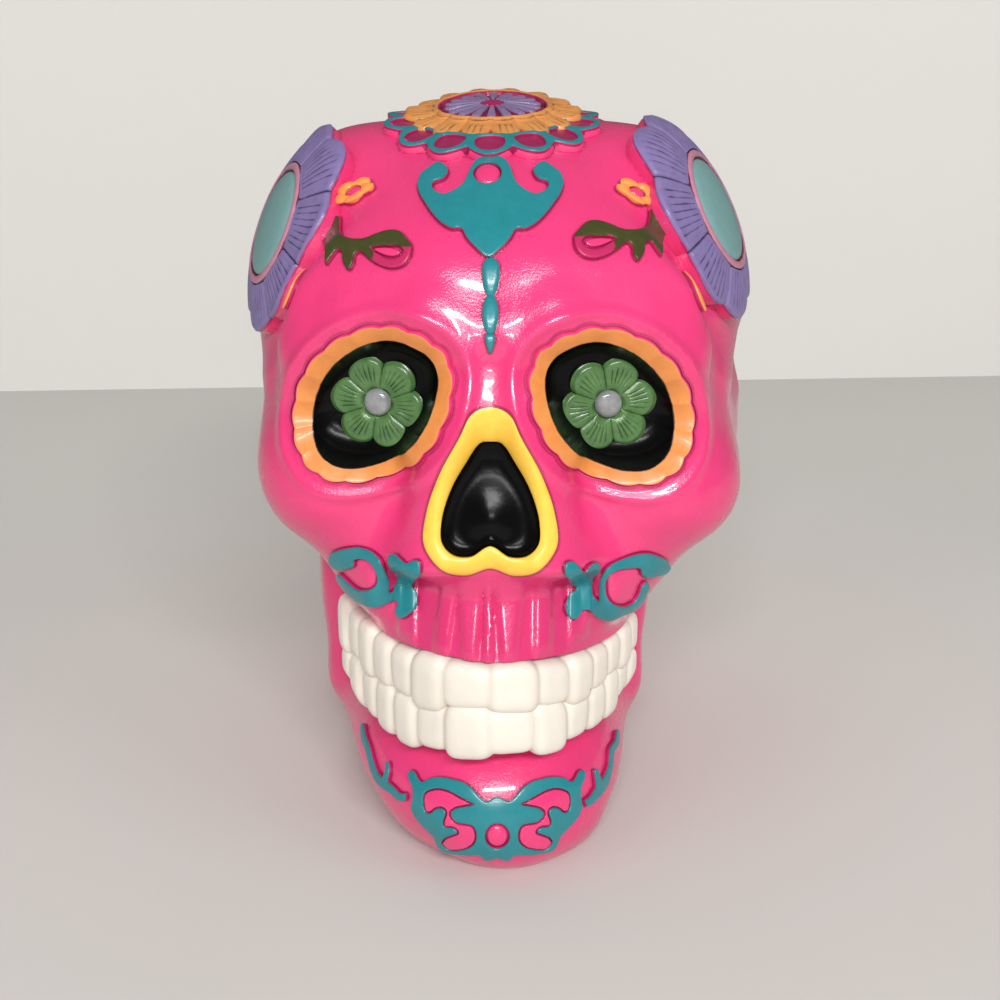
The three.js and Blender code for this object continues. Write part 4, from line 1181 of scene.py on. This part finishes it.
vine_seat, vine_left = seats((23, -45, 119), (-0.05, -0.98, 0.17), (0, 0, -1.8))
VINE = [
    (-6.8, 2.4), (-5.1, 2.6), (-3, 2.1), (-0.9, 1.3), (0.8, 1.1), (3, 1.5), (3.8, 2.1), (4.2, 3.7),
    (4.3, 5.1), (5, 5.1), (5.9, 3.7), (7.3, 2.3), (9.3, 1), (8.2, 0.7), (6.8, 0.3), (6.4, -0.9),
    (6.3, -3.1), (5.3, -1.9), (4.2, -0.7), (3.3, -1.1), (3.2, -2.4), (2.1, -4), (1.4, -3.1), (1.1, -1.6),
    (0.2, -0.9), (-1.5, -2.1), (-3.2, -3.1), (-5.3, -3.7), (-7.3, -3.3), (-8.4, -2.2), (-8.8, -1),
    (-8.8, 0.2), (-8, 1.2),
]
VINE_HOLE = [
    (-7.6, -1.1), (-6.7, 0), (-4.9, 0), (-3.3, 0), (-1.6, -0.5), (-3.3, -1.5), (-4.6, -2.2), (-6.3, -2.2),
]
VINE_LEAF = [(-7, -1.1), (-5.6, -0.5), (-3.8, -0.4), (-2.4, -0.6), (-4.2, -1.5), (-6, -1.7)]
vine = cut_out([[loop(VINE, 6), loop(VINE_HOLE, 6)]], SUNK, 0.7, 0.15)
# The brush left the lower part of the vine's loop bare
flat = points_of(vine)
bare_loop = smooth_step(-1.2, -3.6, flat[:, 0]) * smooth_step(0.6, -1.4, flat[:, 1])
mark(vine, "top", marks_of(vine, "top") * (1 - bare_loop))
settle_pair(vine, vine_seat, vine_left, "brow_tendril", "brow_vine", OLIVE)
leaf = cut_out([[loop(VINE_LEAF, 6)]], SUNK, 0.6, 0.13)
settle_pair(leaf, vine_seat, vine_left, "brow_leaf_curl", "brow_leaf", PINK)
bud_seat, bud_left = seats((37, -43, 109), (0.6, -0.7, 0.35))
BUD = [(-0.6, 4.4), (-1.8, 2.6), (-2.1, 0.4), (-1.4, -2), (-0.2, -3.4), (0.4, -1.6), (0.1, 1.6)]
bud = cut_out([[loop(BUD)]], SUNK, RELIEF, 0.16)
settle_pair(bud, bud_seat, bud_left, "temple_bud_petal", "temple_bud", ORANGE)

# Cheeks: a curled ribbon out of a four-pointed sprig
scroll_seat, scroll_left = seats((22.4, -55, 57.6), (-0.05, -0.92, 0.39))
SCROLL_RIGHT = [
    (-2.6, -2.9), (-2.5, -1), (-2.5, 0.8), (-2.2, 2.2), (-1.3, 3.4), (0.4, 4.4), (2.2, 5.2), (4, 5.8),
    (5.9, 6), (7.8, 5.6), (9.5, 4.8), (10.1, 3.8), (9.4, 2.7), (7.4, 2), (5.5, 1.6), (4.6, 2.2), (4.4, 3.1),
    (1.7, 3), (-0.1, 2.5), (-1.1, 1.8), (-1.5, 0.8), (-1.5, -1), (-1.1, -2.4), (-0.2, -3.4), (1.4, -3.8),
    (3.2, -3.1), (4.2, -1.6), (4.8, 0.2), (5.6, 0.9), (6.1, 0.2), (5.6, -1.5), (4.9, -3.2), (3.6, -4.5),
    (1.5, -5.3), (-0.7, -6.3), (-2.1, -6.1), (-3.6, -5.4), (-4.7, -4.8), (-5.7, -4.7), (-6.4, -5.6),
    (-7.3, -6.5), (-8.3, -6), (-9, -4.9), (-8.9, -3.5), (-8.2, -2.1), (-7.2, -0.8), (-8, 0.4), (-8.9, 1.8),
    (-9.1, 2.8), (-8.6, 3.7), (-7.7, 3.8), (-6.6, 2.9), (-5.7, 2.3), (-4.9, 3.2), (-3.8, 3.9), (-3.1, 3.6),
    (-3, 2.7), (-3.6, 1.8), (-4.1, 0.7), (-4.2, -0.4), (-3.9, -1.6), (-3.2, -2.6),
]
SCROLL_LEFT = [
    (3.4, -1.9), (3.4, 0.3), (3.1, 2.1), (2.5, 3.9), (1.3, 5.2), (-0.2, 6), (-1.9, 6.4), (-3.8, 6.3),
    (-5.7, 6), (-7.3, 5.3), (-7.6, 4.1), (-6.9, 3), (-5.5, 2.4), (-3.5, 2.6), (-2.6, 3), (-2.6, 3.9),
    (-1.5, 4.3), (0, 3.9), (1, 2.9), (1.5, 1.6), (1.5, 0.3), (1, -0.8), (-0.3, -1.4), (-2.1, -1.2),
    (-3.6, -0.2), (-4.8, 0.9), (-5.8, 1.7), (-6.3, 1.2), (-5.6, -0.4), (-4.2, -2), (-2.6, -3.2),
    (-0.6, -4.1), (1.5, -4.3), (3.6, -3.5), (5, -3.3), (5.4, -3.8), (5.1, -4.9), (5.2, -6), (5.9, -6.7),
    (7.4, -6), (8.5, -4.7), (8.9, -3.3), (8.6, -1.9), (8, -0.6), (8.4, 0.4), (9.5, 1.2), (9.8, 2.4),
    (9.5, 3.6), (8.6, 3.7), (7.3, 3.2), (6.3, 4), (5.2, 4.9), (4.2, 4.4), (4.2, 3.2), (5, 1.9), (5.3, 0.8),
    (5, -0.4), (4.3, -1.6),
]
for side, seat, line in (("right", scroll_seat, SCROLL_RIGHT), ("left", scroll_left, SCROLL_LEFT)):
    scroll = cut_out([[loop(line, 6)]], SUNK, RELIEF, 0.16)
    settle(scroll, seat)
    keep(scroll, "cheek_curl_" + side, ["cheek_scroll_" + side], TEAL)

# Chin: crest with raised pink curls in its openings, a button, and a wave along each side
chin_seat = Seat((1.3, -65.1, 15.2), (0.03, -0.85, 0.53), jaw)
CHIN_HALF = [
    (0, 3.3), (2.05, 2.5), (3.25, 3.35), (4.6, 4.9), (6.3, 6), (8.2, 6.55), (10.5, 6.95), (12.6, 6.7),
    (13.8, 6.1), (14.6, 6.7), (15.4, 8.1), (16.3, 8.3), (16.5, 7.2), (15.6, 5), (15.6, 3.2), (15.9, 1.6),
    (15.3, 0.1), (14, -1.5), (12.5, -2.9), (11.6, -3.9), (11.2, -5.2), (10.1, -6.4), (8, -6.8),
    (5.5, -7.05), (3.3, -7.05), (2.2, -7.9), (1.2, -7.9), (0, -7.5),
]
CHIN_OPENING = [
    (13.6, 2.7), (13.3, 4.1), (12.3, 4.7), (10.5, 4.9), (8.7, 4.4), (6.8, 3.4), (5.1, 2.5), (4.1, 2),
    (6, 1.6), (7.5, 1.3), (8.4, 0.7), (8.4, 0), (7.3, -1.1), (5.7, -1.4), (4.4, -1.8), (3.8, -3),
    (4, -4.6), (5.2, -5.7), (7.2, -6.2), (9, -6.1), (10.2, -4.8), (9.6, -3.9), (8.4, -3.4), (7.2, -2.9),
    (7.9, -2.2), (9.6, -1.9), (9.9, -1.1), (9.4, 0.7), (10.2, 1.4), (11.3, 1.2), (12.2, 0.55),
    (13.1, 0.75),
]
CHIN_BUTTON = (0, -3.6)
openings = [loop(CHIN_OPENING, 6), loop(flipped(CHIN_OPENING), 6)]
chin_outline = [loop(both_sides(CHIN_HALF), 6), disc(2.25, CHIN_BUTTON), *openings]
chin = cut_out([chin_outline], SUNK, RELIEF, 0.16)
settle(chin, chin_seat)
keep(chin, "chin_crest_relief", ["chin_crest"], TEAL)
chin_boss = pad(disc(1.9, CHIN_BUTTON), CHIN_BUTTON, button_height, SUNK, 12)
curls = [cut_out([[inset(opening, 0.3)]], SUNK, 0.7, 0.13) for opening in openings]
chin_boss = joined([chin_boss, *curls])
settle(chin_boss, chin_seat)
keep(chin_boss, "chin_button_curls", ["chin_boss"], PINK)
# Each wave: its place, the way it faces, its ribbon and the prong that leaves it
WAVES = {
    "right": ((20.2, -52, 16.5), (0.25, -0.82, 0.5),
              [(8.3, 7.8, 0.9), (7, 5.5, 1.4), (4.8, 4.1, 1.3), (3.8, 1.3, 1.3), (1.9, -1.4, 1.9),
               (-0.3, -3, 2), (-2.3, -4.4, 1.5), (-3.9, -5, 1.4)],
              [(-0.1, -2.6, 1.7), (-0.4, -0.7, 1.3), (-0.7, 1, 0.8)]),
    "left": ((-21, -51.3, 17.3), (-0.25, -0.82, 0.5),
             [(-8.7, 7.2, 0.9), (-7.3, 4.9, 1.4), (-4.8, 2.4, 1.3), (-3.3, 0.1, 1.4), (-1.3, -2.2, 1.6),
              (0.9, -3.2, 1.8), (3.2, -4, 1.4), (5.4, -5, 1.3), (7, -4.8, 1.3)],
             [(1, -3, 1.5), (1.7, -1, 1.1), (1.4, 0.9, 0.7)]),
}
for side, (at, out, line, prong) in WAVES.items():
    wave = cut_out([[ribbon(line)], [ribbon(prong)]], SUNK, RELIEF, 0.14)
    settle(wave, Seat(at, out, jaw))
    keep(wave, "chin_ripple_" + side, ["chin_wave_" + side], TEAL)

# Teeth
tooth_row("upper_tooth_row", "upper_teeth", UPPER_WIDTHS,
          lambda x: bite_line(x) - 0.5, gum_line, front=0.2, seed=1.0)
tooth_row("lower_tooth_row", "lower_teeth", LOWER_WIDTHS,
          root_line, lambda x: bite_line(x) + 0.8, front=-0.1, seed=4.0)

# Skull and jaw
POCKET_GAP = 0.08
BRANCH_FROM = -28  # the jaw's rising branch lies behind this


# A pocket's cutter is flat on top, clear of the bone
def pocket_top(u, v, t, k):
    return 14


feet = np.vstack(foot_points)
near_feet = kdtree.KDTree(len(feet))
for i, point in enumerate(feet):
    near_feet.insert(point, i)
near_feet.balance()
skull_bone = wrapped(skull, SKULL_CENTRE, -0.5)
ground_flat(skull_bone)
slot = tooth_slot()
eye_pocket = pad(grown(eye_edge, POCKET_GAP), (0, 0), pocket_top, -7.4, 2)
stand_up(eye_pocket, eye_seat)
other_pocket = mirror_copy(eye_pocket)
nose_pocket = pad(grown(nose_edge, POCKET_GAP), (0, -1), pocket_top, -6.8, 2)
stand_up(nose_pocket, nose_seat)
for cutter in (eye_pocket, other_pocket, nose_pocket, slot):
    carve(skull_bone, cutter)
jaw_bone = wrapped(jaw, JAW_CENTRE, -0.75)
branch = jaw_bone.vertex_groups.new(name="rising_branch")
branch.add(np.flatnonzero(points_of(jaw_bone)[:, 1] > BRANCH_FROM).tolist(), 1, "REPLACE")
finish_with(jaw_bone, "SMOOTH", factor=0.5, iterations=30, vertex_group="rising_branch")
jaw_bone.vertex_groups.clear()
ground_flat(jaw_bone)
carve(jaw_bone, slot)
for cutter in (eye_pocket, other_pocket, nose_pocket, slot):
    bpy.data.objects.remove(cutter)

# Along the foot of each ornament the pink turns a deep red, partly pooled lacquer and partly painted shade;
# over the roots of the upper teeth a little painted shade darkens it too
for obj, name, node in ((skull_bone, "skull_cast", "cranium"), (jaw_bone, "jaw_cast", "mandible")):
    p = points_of(obj)
    at_feet = 0.85 * (1 - smooth_step(0.15, 0.5, from_feet(p)))
    mark(obj, "groove", np.maximum(at_feet, 0.2 * ramp_share(p)))
    keep(obj, name, [node], PINK)

# Table: pale paper, matt, with faint clouds of tone that keep the floor from looking like a flat card
bpy.ops.object.select_all(action="DESELECT")
bpy.ops.mesh.primitive_plane_add(size=3, location=(0, 0, 0))
table = bpy.context.object
table.name = "table_top"
grey, tree = blank_material("pale_table_paper")
place = add(tree, "TexCoord").outputs["Object"]
fibre = add(tree, "TexNoise", {"Vector": place, "Scale": scale_for(PAPER_CLOUDS), "Detail": 4})
tone = add(tree, "Mix", {"Factor": fibre.outputs["Fac"], "A": paint("#D0CEC9"),
                         "B": paint("#C7C4BF")}, data_type="RGBA")
shader = add(tree, "BsdfPrincipled", {"Base Color": tone.outputs["Result"], "Roughness": 0.7})
add(tree, "OutputMaterial", {"Surface": shader.outputs["BSDF"]})
table.data.materials.append(grey)

# Wall: matt white paint, a little turned, and clear from behind so that it hides nothing from there
WALL_Y, WALL_TURN = 0.29, math.radians(4.9)
bpy.ops.mesh.primitive_plane_add(size=3, location=(0, WALL_Y, 1.5), rotation=(math.pi / 2, 0, WALL_TURN))
wall = bpy.context.object
wall.name = "wall_behind"
pale, tree = blank_material("white_wall_seen_from_the_front")
side = add(tree, "NewGeometry")
clear = add(tree, "BsdfTransparent")
matt = add(tree, "BsdfDiffuse", {"Color": paint("#DAD8D3")})
one_sided = add(tree, "MixShader", {0: side.outputs["Backfacing"], 1: matt.outputs["BSDF"],
                                    2: clear.outputs["BSDF"]})
add(tree, "OutputMaterial", {"Surface": one_sided.outputs["Shader"]})
wall.data.materials.append(pale)
wall.visible_glossy = False

# Soft light from all round, which shows less in the gloss than on the paint
world = bpy.data.worlds.new("studio")
bpy.context.scene.world = world
world.use_nodes = True
sky = world.node_tree.nodes["Background"]
sky.inputs["Color"].default_value = paint("#F2F4F6")
ray = add(world.node_tree, "LightPath")
level = add(world.node_tree, "MapRange", {"Value": ray.outputs["Is Glossy Ray"],
                                          "To Min": 0.3, "To Max": 0.12})
world.node_tree.links.new(level.outputs["Result"], sky.inputs["Strength"])


# A lamp with a flat face; mirrored says whether it shows in the gloss
def soft_box(name, at, aim, size, power, mirrored=True):
    light = bpy.data.lights.new(name, "AREA")
    light.shape = "RECTANGLE"
    light.size, light.size_y = size
    light.energy = power
    obj = bpy.data.objects.new(name, light)
    obj.location = at
    obj.rotation_euler = (Vector(aim) - Vector(at)).to_track_quat("-Z", "Y").to_euler()
    obj.visible_glossy = mirrored
    bpy.context.collection.objects.link(obj)


soft_box("tube_overhead", (0.14, -1.02, 0.74), (0, -0.03, 0.09), (0.7, 0.1), 11.5)
soft_box("window_right", (0.95, -0.5, 0.8), (0, 0, 0.08), (0.6, 0.6), 2.2, mirrored=False)
soft_box("fill_left", (-1.1, -0.95, 0.8), (0, 0, 0.07), (0.9, 0.7), 3.4, mirrored=False)
soft_box("low_front", (0.04, -0.9, 0.34), (0, -0.06, 0.06), (0.2, 0.05), 1.4)

# Camera, at the photo's viewpoint
PHOTO_LENS = 54
EYE_AT = Vector((0.0069, -0.307, 0.165))
LOOK_AT = Vector((0, -0.06, 0.075))
camera = bpy.data.objects.new("photo_view", bpy.data.cameras.new("photo_view"))
camera.data.sensor_width = 36
camera.data.lens = PHOTO_LENS
camera.data.shift_x = 0.009
camera.data.shift_y = 0.003
camera.data.clip_start = 0.01
camera.location = EYE_AT
camera.rotation_euler = (LOOK_AT - EYE_AT).to_track_quat("-Z", "Y").to_euler()
bpy.context.collection.objects.link(camera)
bpy.context.scene.camera = camera
bpy.context.scene.view_settings.view_transform = "Standard"
